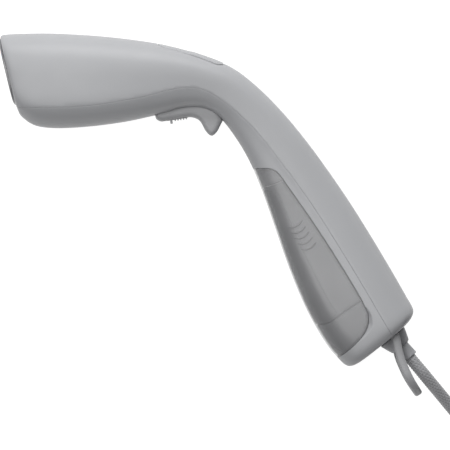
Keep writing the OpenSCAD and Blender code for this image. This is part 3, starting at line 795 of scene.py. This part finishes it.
def coil_points():
    """Turns of the stored cord: each holds its radius and layer, then shifts over to the next."""
    whole = 360.0 * (len(COIL_TURNS) - 1) + (COIL_END - COIL_START) % 360
    points = []
    for turned_by in np.arange(COIL_STEP, whole, COIL_STEP):
        k = int(turned_by // 360)
        radius, layer = COIL_TURNS[k]
        left = 360 * (k + 1) - turned_by
        if left < SHIFT_SPAN and k + 1 < len(COIL_TURNS):
            t = 1 - left / SHIFT_SPAN
            t = t * t * (3 - 2 * t)
            radius += (COIL_TURNS[k + 1][0] - radius) * t
            layer += (COIL_TURNS[k + 1][1] - layer) * t
        a = math.radians(COIL_START + turned_by)
        points.append([
            COIL_CENTRE[0] + radius * math.cos(a), COIL_CENTRE[1] + radius * math.sin(a),
            TIE_THICK + CORD_D / 2 + CORD_D * layer,
        ])
    return np.array(points)


# Strands stand out on the first stretch of the cord, where the path is also fine
RIBBED = 110.0
RIB_HEIGHT = 0.14
FINE_STEP = 0.38
COARSE = 5
CORD_SIDES = 48


def make_cord():
    """The cord as a round tube; gives the piece, its path and its length."""
    whole = np.concatenate([smooth_line(CORD_ROUTE, 6), coil_points(), smooth_line(TAIL_ROUTE, 6)])
    near = even_line(whole, FINE_STEP)
    split = int(RIBBED / FINE_STEP)
    path = np.concatenate([near[:split], near[split::COARSE], near[-1:]])
    ahead = unit(np.gradient(path, axis=0))
    side = unit(np.cross(ahead, [0, 0, 1]))
    up = np.cross(side, ahead)
    turn = np.linspace(0, 1, CORD_SIDES, endpoint=False)
    a = 2 * math.pi * turn
    verts = []
    uvs = []
    for i, along in enumerate(distances(path)):
        height = RIB_HEIGHT * np.clip((RIBBED - along) / 8, 0, 1)
        r = CORD_D / 2 - RIB_HEIGHT + height * np.sin(2 * math.pi * (along / BRAID_PITCH + turn))
        verts.append(path[i] + side[i] * (r * np.cos(a))[:, None] + up[i] * (r * np.sin(a))[:, None])
        uvs.append(np.column_stack([np.full(CORD_SIDES, along), turn]))
    piece = make_mesh("mains_cord", np.concatenate(verts), ring_faces(len(path), CORD_SIDES), "root",
                      "cord_braid", uvs=np.concatenate(uvs), sharp=math.radians(60))
    return piece, path, distances(whole)[-1]


cord_piece, cord_path, cord_length = make_cord()


# The sleeve's grooves: where they start and end along it, their pitch and depth
GROOVES = (3.0, 21.0)
GROOVE_PITCH = 3.0
GROOVE_DEPTH = 0.35


def make_plug():
    """Moulded plug with a tapered, grooved sleeve and a wider grip."""
    profile = rounded([
        (0, CORD_D / 2 + 0.05), (0, 5.2), (22, 7.6), (27, 11), (34, 17), (40, 18.3), (52, 18.3),
        (54, 17.4), (54, 0.01),
    ], 1.6, 5)
    verts, faces = lathe(profile)
    x = verts[:, 0]
    r = np.hypot(verts[:, 1], verts[:, 2])
    in_groove = (x > GROOVES[0]) & (x < GROOVES[1]) & (np.sin(x * 2 * math.pi / GROOVE_PITCH) > 0.4)
    verts[:, 1:] *= np.where(r > 1, (r - in_groove * GROOVE_DEPTH) / np.maximum(r, 1), 1)[:, None]
    return make_mesh("plug_moulding", turned(verts, PLUG_WAY, PLUG_AT), faces, "root", "plug_plastic")


TIE_HALF = 7.0
TIE_WAY = math.radians(-60)


def make_tie():
    """Hook-and-loop strap round the bundle, with rounded corners."""
    low = COIL_RADIUS - 2.5 * CORD_D - 1 - TIE_THICK
    high = COIL_RADIUS + 0.5 * CORD_D + 0.2 + TIE_THICK
    top = 3 * CORD_D + 2 * TIE_THICK
    middle = np.array([(low + high) / 2, top / 2])

    def window(shrink, corner):
        out = []
        for cx, cy, start in ((high, top, 0), (low, top, 90), (low, 0, 180), (high, 0, 270)):
            centre = (cx - math.copysign(corner + shrink, cx - middle[0]),
                      cy - math.copysign(corner + shrink, cy - middle[1]))
            out.append(arc(centre, corner, start, start + 90, 8))
        return np.concatenate(out)

    def layer(line, y):
        return np.column_stack([line[:, 0], np.full(len(line), y), line[:, 1]])

    outer = window(0, 3.2)
    inner = window(TIE_THICK, 2.0)
    layers = []
    bevel = 0.3
    for y, k in ((-TIE_HALF, 0.25), (-TIE_HALF + bevel, 0), (TIE_HALF - bevel, 0), (TIE_HALF, 0.25)):
        drawn_in = outer + unit(middle - outer) * k
        drawn_in[:, 1] = np.maximum(drawn_in[:, 1], 0.02)
        layers.append(layer(drawn_in, y))
    layers += [layer(inner, TIE_HALF), layer(inner, -TIE_HALF)]
    verts = turned(np.concatenate(layers), TIE_WAY, (*COIL_CENTRE, 0))
    faces = ring_faces(len(layers), len(outer), loop=True)
    return make_mesh("cord_strap", verts, faces, "root", "tie_fabric")


plug_piece = make_plug()
tie_piece = make_tie()
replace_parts(cord_piece, "cord", "cord_coil", "cord_tail")
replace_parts(plug_piece, "plug_body")
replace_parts(tie_piece, "cord_tie")


# ---------- Casing ----------

def round_box(x0, x1, half, radius, count=9):
    """Outline of a box with round corners, as (x, z) points."""
    centres = ((x1 - radius, half - radius), (x0 + radius, half - radius),
               (x0 + radius, radius - half), (x1 - radius, radius - half))
    return np.concatenate([arc(c, radius, 90 * i, 90 * i + 90, count) for i, c in enumerate(centres)])


def on_skin(outline, side, step=0.9):
    """An (x, z) outline laid on the back or front skin, in the flat domain."""
    fine = []
    for a, b in zip(outline, np.roll(outline, -1, axis=0)):
        count = max(1, int(np.ceil(np.linalg.norm(b - a) / step)))
        fine.extend(a + (b - a) * k / count for k in range(count))
    return skin_point(*np.array(fine).T, side)


def box_mesh(x, y, z, angle, origin):
    verts = np.array([[a, b, c] for a in x for b in y for c in z], float)
    faces = [(0, 1, 3, 2), (4, 6, 7, 5), (0, 4, 5, 1), (2, 3, 7, 6), (0, 2, 6, 4), (1, 5, 7, 3)]
    return turned(verts, angle, origin), faces


def carve(piece, cutters):
    """Cuts closed meshes out of a closed piece."""
    for verts, faces in cutters:
        cutter = add_object("cutter", new_mesh("cutter", verts, faces))
        cutter.data.update()
        change = piece.modifiers.new("carve", "BOOLEAN")
        change.operation = "DIFFERENCE"
        change.solver = "EXACT"
        change.object = cutter
        bpy.context.view_layer.update()
        graph = bpy.context.evaluated_depsgraph_get()
        result = bpy.data.meshes.new_from_object(piece.evaluated_get(graph))
        piece.modifiers.clear()
        old = piece.data
        piece.data = result
        bpy.data.meshes.remove(old)
        bpy.data.objects.remove(cutter)
        smooth_shading(result)


def loop_slot_cutters():
    """The two slots in the handle's end in which the hanging loop's legs swing."""
    half = 2 + GAP
    return [box_mesh((-4.5, 12.5), (-11.5, 6.5), (z - half, z + half),
                     CORD_WAY - math.radians(3), (*LOOP_PIVOT, MID)) for z in (-LOOP_HALF, LOOP_HALF)]


# Front, rear, half width and corner radius of the top panel
PANEL = (-34.0, 8.0, 15.5, 6.0)
PANEL_LEAN = math.radians(18.7)
PANEL_UP = math.pi / 2 - PANEL_LEAN
BUTTON_AT = (-5.5, 102.1)
LENS_BACK = 15.0
LENS_AT = (BUTTON_AT[0] - LENS_BACK * math.cos(PANEL_LEAN), BUTTON_AT[1] + LENS_BACK * math.sin(PANEL_LEAN))
SCREW_AT = (-98.0, 55.9)
TRIGGER_SLOT = (-36.3, 8.4, 8.35, 2.5)


def panel_ring(d):
    """Plan outline of the top panel drawn in by d."""
    front, rear, half, corner = PANEL
    return round_box(front + d, rear - d, half - d, corner - d, 13)


def hole_ring(x, radius, side, lean=0.0, count=40):
    """A round hole in the front or back skin at x, where the skin leans by that angle."""
    a = whole_turn(count)
    return skin_point(x + math.cos(lean) * radius * np.cos(a), radius * np.sin(a), side)


# The hollow's start and end as shares of the line round the tank's foot, its depth and its width
HOLLOW = (0.1, 0.62)
HOLLOW_DEPTH = 1.6
HOLLOW_WIDTH = 3.0


def thumb_hollow(skin):
    """Crescent hollow in the casing beside the lower corner of the tank."""
    line = even_line(smooth_line(np.vstack([TANK_BACK[-1:], TANK_FOOT]), 8), 0.3)
    away = np.linalg.norm(skin[:, None, :2] - line[None], axis=2)
    share = away.argmin(axis=1) / (len(line) - 1)
    ends = np.clip((share - HOLLOW[0]) / 0.25, 0, 1) * np.clip((HOLLOW[1] - share) / 0.25, 0, 1)
    across = np.clip(away.min(axis=1) / (0.3 + (HOLLOW_WIDTH - 0.3) * ends), 0, 1)
    return -HOLLOW_DEPTH * np.sqrt(ends) * (1 - across**1.3)


def panel_lift(skin):
    """The panel stands slightly proud round the button."""
    return 0.32 * np.clip((skin[:, 0] + 15) / 4, 0, 1)


tank_edge = side_loop(tank_outline())
upper_casing = skin_patch(
    "upper_casing", shell_loop(True), [on_skin(panel_ring(-0.1), 1)], "root", "shell_plastic",
    lip=0.35, depth=0.03)
lower_casing = skin_patch(
    "lower_casing", shell_loop(False),
    [tank_edge, on_skin(round_box(*TRIGGER_SLOT), -1), hole_ring(SCREW_AT[0], 4.0, -1)],
    "root", "shell_plastic", lip=0.35, creases=[inset(tank_edge, -0.5 * k) for k in range(1, 7)],
    lift=thumb_hollow)
carve(upper_casing, loop_slot_cutters())
carve(lower_casing, loop_slot_cutters())
top_panel = skin_patch(
    "control_panel", on_skin(panel_ring(0.25), 1),
    [hole_ring(BUTTON_AT[0], 5.6, 1, PANEL_LEAN), hole_ring(LENS_AT[0], 1.55, 1, PANEL_LEAN, 24)],
    "root", "shell_plastic", lip=0.5, lift=panel_lift)
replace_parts(upper_casing, "upper_shell")
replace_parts(lower_casing, "lower_shell")
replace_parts(top_panel, "top_panel")


def make_button():
    """Round button with a dished top."""
    profile = rounded([(-5.1, 0.01), (-5.1, 1.6), (-4.2, 1.6), (-4.2, 5.5), (0, 5.5), (0, 4.6)], 0.35, 5)
    dish = [(-0.5 * (1 - (r / 4.6)**2), r) for r in (4.2, 3.6, 2.8, 1.8, 0.8, 0.01)]
    return make_spun("button_cap", [*profile, *dish], BUTTON_AT, PANEL_UP, "power_button", "trim_plastic", 72)


def make_lens():
    """Light guide with a low domed end."""
    profile = [(-5, 0.01), (-5, 1.5), (-1.2, 1.5), (-0.95, 1.42), (-0.75, 1.15), (-0.62, 0.7), (-0.6, 0.01)]
    return make_spun("light_guide", profile, LENS_AT, PANEL_UP, "root", "indicator_clear", 32)


def make_screw_cover():
    """Press-in disc with a shallow dish."""
    profile = rounded([(-2.2, 0.01), (-2.2, 3.9), (0, 3.9), (-0.15, 2.6), (-0.3, 0.01)], 0.3, 5)
    return make_spun("screw_plug", profile, SCREW_AT, -math.pi / 2, "root", "shell_plastic", 64)


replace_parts(make_button(), "power_button")
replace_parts(make_lens(), "indicator_lens")
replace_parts(make_screw_cover(), "screw_cover")


# ---------- Steam plate ----------

def squircle(wide, tall, count, back=BACK_SQUARENESS, front=FRONT_SQUARENESS):
    """Closed outline with the casing's kind of squareness."""
    a = whole_turn(count)
    c, s = np.cos(a), np.sin(a)
    power = np.where(s < 0, front, back)
    r = (np.abs(c / wide)**power + np.abs(s / tall)**power)**(-1 / power)
    return np.column_stack([r * c, r * s])


def head_plane(x):
    """Flat domain (z, y) of the head's frame at local x, facing out of the head."""
    c, s = math.cos(RIM_LEAN), math.sin(RIM_LEAN)

    def place(points):
        flat = np.column_stack([
            RIM[0] + x * c - points[:, 1] * s, RIM[1] + x * s + points[:, 1] * c, MID + points[:, 0],
        ])
        return flat, np.tile([-c, -s, 0.0], (len(points), 1))

    return place


# Centres (y, z) of the steam holes, and each hole as a loop of the plate's (z, y) domain
HOLES = [(row * 6, side * 9) for side in (-1, 1) for row in (-2, -1, 0, 1, 2)] + [(-9, 0), (9, 0)]
HOLE_RINGS = [arc((z, y), 1.5, 0, 360, 25)[:-1] for y, z in HOLES]

for name, wide, tall, count, x, form in (
        ("steam_plate_face", 24.6, 21.6, 160, -1.3, dict(lip=0.5, thick=1.2, spacing=1.2)),
        ("steam_plate_core", 20.4, 17.4, 120, -0.1, dict(lip=0.2, thick=3.9, spacing=2.5))):
    plate = skin_patch(name, squircle(wide, tall, count), HOLE_RINGS, "root", "plate_coating",
                       place=head_plane(x), **form)
    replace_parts(plate, "steam_plate")


# ---------- Extruded pieces with rounded edges ----------

def pillow(outline, half, radius, steps):
    """Points and faces of an outline drawn out to both sides of its plane, its edges rounded."""
    outline = np.asarray(outline, float)
    if signed_area(outline) < 0:
        outline = outline[::-1]
    bends = np.linspace(0, math.pi / 2, steps + 1)
    levels = [(radius * (1 - math.sin(b)), -half + radius * (1 - math.cos(b))) for b in bends]
    levels += [(d, -z) for d, z in levels[::-1]]
    count = len(outline)
    rings = [np.column_stack([inset(outline, d), np.full(count, z)]) for d, z in levels]
    faces = ring_faces(len(rings), count, closed_ends=False)
    verts = np.concatenate(rings)
    edges = [(k, (k + 1) % count) for k in range(count)]
    for index, flip in ((0, True), (len(rings) - 1, False)):
        flat = [Vector(p) for p in rings[index][:, :2]]
        points, _, tris, sources, *_ = delaunay_2d_cdt(flat, edges, [], 1, 1e-6)
        ids = [source[0] + index * count if source else None for source in sources]
        for k, p in enumerate(points):
            if ids[k] is None:
                ids[k] = len(verts)
                verts = np.vstack([verts, [p[0], p[1], rings[index][0][2]]])
        for tri in tris:
            up = signed_area(verts[[ids[k] for k in tri], :2]) > 0
            faces.append(tuple(ids[k] for k in (tri if up != flip else tri[::-1])))
    return verts, faces


def pebble(outline, half, lip):
    """Points and faces of a side outline drawn out to both sides with wide, soft edges."""
    lines = [inset(outline, 0.12 * lip), inset(outline, 0.4 * lip)]
    points, faces = triangulate(outline, [], 0.9, lines)
    height = half - rounding(points, [outline], lip)
    faces = np.array([f if signed_area(points[f]) > 0 else f[::-1] for f in faces])
    verts = np.concatenate([np.column_stack([points, MID + side * height]) for side in (1, -1)])
    return verts, closed_shell(faces, len(points))


TRIGGER_LOW = [
    [-35.6, 63.6], [-34.8, 61.3], [-32, 60], [-28.5, 60.4], [-20, 61.8], [-13.5, 62.7],
    [-9, 61.6], [-6.2, 59], [-3.2, 53.6], [0.3, 50.8], [3.6, 53], [6.2, 57.8], [7.6, 60.6],
]
TRIGGER_HIGH = [[3.5, 67.5], [-3, 72.5], [-12, 74], [-26, 73.2], [-33.5, 70]]
TRIGGER_PIN = (-31.0, 69.5)
PIN_HOLE_R = 1.55
LOCK_AT = (-23.0, 61.9)
LOCK_WAY = math.radians(8.5)
LOCK_HALF = 4.0

trigger_line = np.concatenate([smooth_line(TRIGGER_LOW, 6), smooth_line(TRIGGER_HIGH, 3)])
trigger_outline = even_line(np.vstack([trigger_line, trigger_line[:1]]), 0.8)[:-1]
trigger_piece = make_mesh("trigger_lever", *pebble(trigger_outline, 8.0, 2.8), "trigger", "trim_plastic")
pin_hole, pin_faces = lathe([(-10, PIN_HOLE_R), (10, PIN_HOLE_R)], 48, closed_ends=True)
lock_room = LOCK_HALF + GAP
carve(trigger_piece, [
    box_mesh((-9.35, 8.35), (-4, 1.6), (-lock_room, lock_room), LOCK_WAY, (*LOCK_AT, MID)),
    (pin_hole[:, [1, 2, 0]] + np.array([*TRIGGER_PIN, MID]), pin_faces),
])
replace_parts(trigger_piece, "trigger")

LOCK_PROFILE = [[8, 1.2], [-5, 1.2], [-5, -0.9], [-3.3, -0.9], [-3.3, -2.4], [-3.4, -2.7], [-3.1, -3.1],
                [-2.1, -3.1], [-1.8, -2.7], [-1.9, -2.4], [-1.9, -0.9]]
for tooth in range(5):
    left = -0.5 + 1.8 * tooth
    LOCK_PROFILE += [[left, -0.9], [left + 0.15, -1.7], [left + 0.75, -1.7], [left + 0.9, -0.9]]
LOCK_PROFILE += [[8, -0.9]]
lock_verts, lock_faces = pillow(LOCK_PROFILE, LOCK_HALF, 0.18, 3)
lock_piece = make_mesh("trigger_catch", turned(lock_verts, LOCK_WAY, (*LOCK_AT, MID)), lock_faces,
                       "trigger_lock", "trim_plastic")
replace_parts(lock_piece, "trigger_lock")


# ---------- Water tank ----------

cover = skin_patch("tank_shell", inset(tank_edge, 0.04), [], "water_tank", "smoke_plastic",
                   lip=0.18, thick=0.8, spacing=1.4)
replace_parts(cover, "tank_cover")


def joined(*stretches):
    """An outline from lists of points; a stretch of more than two is smooth."""
    return np.concatenate([smooth_line(p, 6) if len(p) > 2 else p for p in stretches])


# Side outlines of the inner vessel's three walls and of the grip at its top
VESSEL_PATH = joined(
    [[5, 15.6], [34, 15.6]],
    [[39, 15.4], [43.3, 12.2], [46.4, 5.5], [50.5, -3], [58.5, -21], [68, -40.5], [75.5, -54.5]],
    [[79.8, -61.5], [79.2, -64], [75, -67.2], [68.5, -69.6]], [[40, -76]])
REST_PATH = joined(
    [[10, 10.5], [34, 17.2]], [[45.6, 21.4], [65.2, -6.5], [83.8, -35.5], [94.7, -53.9]],
    [[93.6, -55], [86, -60], [79.9, -64.4], [74, -68.4], [68.5, -70.2]], [[40, -78]])
FOOT_PATH = joined(
    [[40, -78.6]],
    [[68.7, -70.8], [74.4, -69], [80.4, -65], [86.5, -60.6], [93.5, -55.7], [95.2, -54.3]],
    [[98.9, -62.2], [99.2, -67.2], [98, -72.3], [94.9, -77.6], [90.7, -82.3], [85.4, -87.1],
     [82.3, -89.6]], [[46.3, -107.1]])
CAP_PATH = [[10, 28.9], [36, 28.9], [39.6, 27.9], [42.6, 25.8], [45.8, 22.2], [34.2, 17.8], [10, 10.8]]

# Each wall of the one vessel gets its own tone: painted light and shade by region
for name, path, look, lip, depth in (
        ("vessel_front", VESSEL_PATH, "vessel_plastic", 1.2, 0.9),
        ("vessel_back", REST_PATH, "vessel_painted_light_plastic", 0.8, 1.5),
        ("vessel_foot", FOOT_PATH, "vessel_foot_painted_light_plastic", 0.8, 1.3)):
    wall = skin_patch(name, side_loop(path), [], "water_tank", "vessel_plastic", look=look,
                      lip=lip, thick=1.4, spacing=2.0, depth=depth)
    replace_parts(wall, "tank_vessel")
cap_piece = skin_patch("tank_grip", side_loop(CAP_PATH), [], "water_tank", "trim_plastic",
                       look="cap_plastic", lip=0.2, thick=6.0, spacing=2.0, depth=1.2)
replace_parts(cap_piece, "tank_cap")


RIB_LINE = np.array([[48.6, -7.8], [52, -7.9], [55, -6.6], [58, -3.5]])
RIB_PITCH = np.array([2.18, -3.5])
RIB_COUNT = 5


def make_grip_ribs():
    """Short curved ribs on each side of the tank."""
    verts = []
    faces = []
    around = whole_turn(10)[:, None]
    wide, high = 0.55 * np.cos(around), 0.3 * np.sin(around)
    for far in (False, True):
        for k in range(RIB_COUNT):
            line = smooth_line(RIB_LINE + RIB_PITCH * k, 8)
            u, v, _ = locate(line)
            phi = side_angle(u, v)
            if far:
                phi = -math.pi - phi
            centre = surface(u, phi)
            normal = surface_normal(u, phi)
            across = unit(np.cross(normal, unit(np.gradient(centre, axis=0))))
            t = np.linspace(-1, 1, len(line))
            swell = np.sqrt(np.maximum(0.02, 1 - t**4))
            start = len(verts) * len(around)
            for i in range(len(line)):
                verts.append(centre[i] + (across[i] * wide + normal[i] * high) * swell[i])
            faces += [tuple(f + start for f in face) for face in ring_faces(len(line), len(around))]
    return make_mesh("grip_ribs", np.concatenate(verts), faces, "water_tank", "smoke_plastic")


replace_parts(make_grip_ribs(), "tank_cover")


# ---------- Handle end ----------

def make_guard():
    """Strain relief: a flared collar, a waist and a plain sleeve."""
    inner = CORD_D / 2 + 0.02
    profile = rounded([
        (-9, inner), (-9, 9.4), (-5.6, 9.4), (-5.6, 6.9), (0.5, 6.9), (1.3, 9.8), (5.2, 8.4), (9.3, 6.8),
        (10, 5.1), (18.1, 5.5), (18.5, 5.1), (18.5, inner),
    ], 0.6, 5)
    return make_spun("cord_sleeve", [*profile, profile[0]], CORD_ROOT, CORD_WAY, "root", "guard_rubber")


# Side line of the hanging loop from its pivot, its general direction and its whole length
LOOP_LINE = np.array([
    [113.2, -72.8], [117.6, -78], [119.2, -85], [121.6, -93.5], [126.6, -104.5], [132.2, -113.4],
])
LOOP_WAY = math.radians(-65)
LOOP_LENGTH = 47.0
LOOP_THICK = 2.6
LOOP_FLARE = 0.8


def make_loop():
    """Hanging bail: two legs from flared roots, joined by a round bow."""
    line = even_line(smooth_line(LOOP_LINE, 12), 0.5)
    along = (line - LOOP_PIVOT) @ [math.cos(LOOP_WAY), math.sin(LOOP_WAY)]
    straight = LOOP_LENGTH - LOOP_HALF - 2
    leg = np.arange(0, straight, 0.8)
    bow = np.linspace(0, math.pi, 41)
    path = np.concatenate([
        np.column_stack([leg, np.full(len(leg), LOOP_HALF)]),
        np.column_stack([straight + LOOP_HALF * np.sin(bow), LOOP_HALF * np.cos(bow)]),
        np.column_stack([leg[::-1], np.full(len(leg), -LOOP_HALF)]),
    ])

    def line_at(distance):
        return np.column_stack([np.interp(distance, along, line[:, k]) for k in (0, 1)])

    centre = np.column_stack([line_at(path[:, 0]), MID + path[:, 1]])
    slope = unit(line_at(path[:, 0] + 0.5) - line_at(path[:, 0] - 0.5))
    thick_way = np.column_stack([-slope[:, 1], slope[:, 0], np.zeros(len(path))])
    wide_way = unit(np.cross(unit(np.gradient(centre, axis=0)), thick_way))
    flare = np.clip(1 - path[:, 0] / 9, 0, 1)
    thick = LOOP_THICK + LOOP_FLARE * flare * flare * (3 - 2 * flare)
    ring = squircle(1, 1, 28, 3.2, 3.2)
    verts = np.concatenate([
        centre[i] + thick_way[i] * thick[i] * ring[:, :1] + wide_way[i] * 2.0 * ring[:, 1:]
        for i in range(len(path))
    ])
    faces = ring_faces(len(path), len(ring))
    profile = rounded([(-2, 1.55), (-2, 3.4), (2, 3.4), (2, 1.55)], 0.4, 4)
    hub, hub_faces = lathe(np.vstack([profile, profile[:1]]), 48)
    for z in (-LOOP_HALF, LOOP_HALF):
        faces += [tuple(i + len(verts) for i in f) for f in hub_faces]
        verts = np.concatenate([verts, hub[:, [1, 2, 0]] + np.array([*LOOP_PIVOT, MID + z])])
    return make_mesh("hanging_bail", verts, faces, "hanging_loop", "trim_plastic")


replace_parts(make_guard(), "cord_guard")
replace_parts(make_loop(), "hanging_loop")


# ---------- CAD pieces that stay in view ----------

for entry in frame["record"]["subparts"]:
    piece = frame["nodes"][entry["node"]]
    if not piece.hide_render:
        piece.data.materials.clear()
        piece.data.materials.append(LOOKS[entry["material_slot"]])


# ---------- Floor and light ----------

# Half the side of the floor, in metres
FLOOR_HALF = 3.0


def make_floor():
    """Pale floor, lit mostly by its own glow so that it stays even."""
    setting(new_material("floor"), Base_Color=(0.176, 0.176, 0.176, 1), Roughness=0.9,
            Specular_IOR_Level=0.0, Emission_Color=(1, 1, 1, 1), Emission_Strength=0.96)
    corners = [(x * FLOOR_HALF, y * FLOOR_HALF, 0) for x, y in ((-1, -1), (1, -1), (1, 1), (-1, 1))]
    mesh = bpy.data.meshes.new("floor")
    mesh.from_pydata(corners, [], [(0, 1, 2, 3)])
    mesh.materials.append(LOOKS["floor"])
    add_object("floor", mesh)


def soft_light(name, place, size, power):
    """Round soft light at a place in metres, turned towards the origin."""
    data = bpy.data.lights.new(name, "AREA")
    data.shape = "DISK"
    data.size = size
    data.energy = power
    lamp = add_object(name, data)
    lamp.location = place
    lamp.rotation_euler = Vector(place).to_track_quat("Z", "Y").to_euler()


make_floor()
soft_light("key", (0.1, 1.6, 0.9), 1.2, 27.5)
soft_light("fill", (-0.5, 0.3, 2.2), 1.4, 33.5)
world = bpy.data.worlds.new("studio")
world.use_nodes = True
setting(world.node_tree.nodes["Background"], Color=(1, 1, 1, 1), Strength=0.075)
bpy.context.scene.world = world
bpy.context.scene.view_settings.view_transform = "Standard"
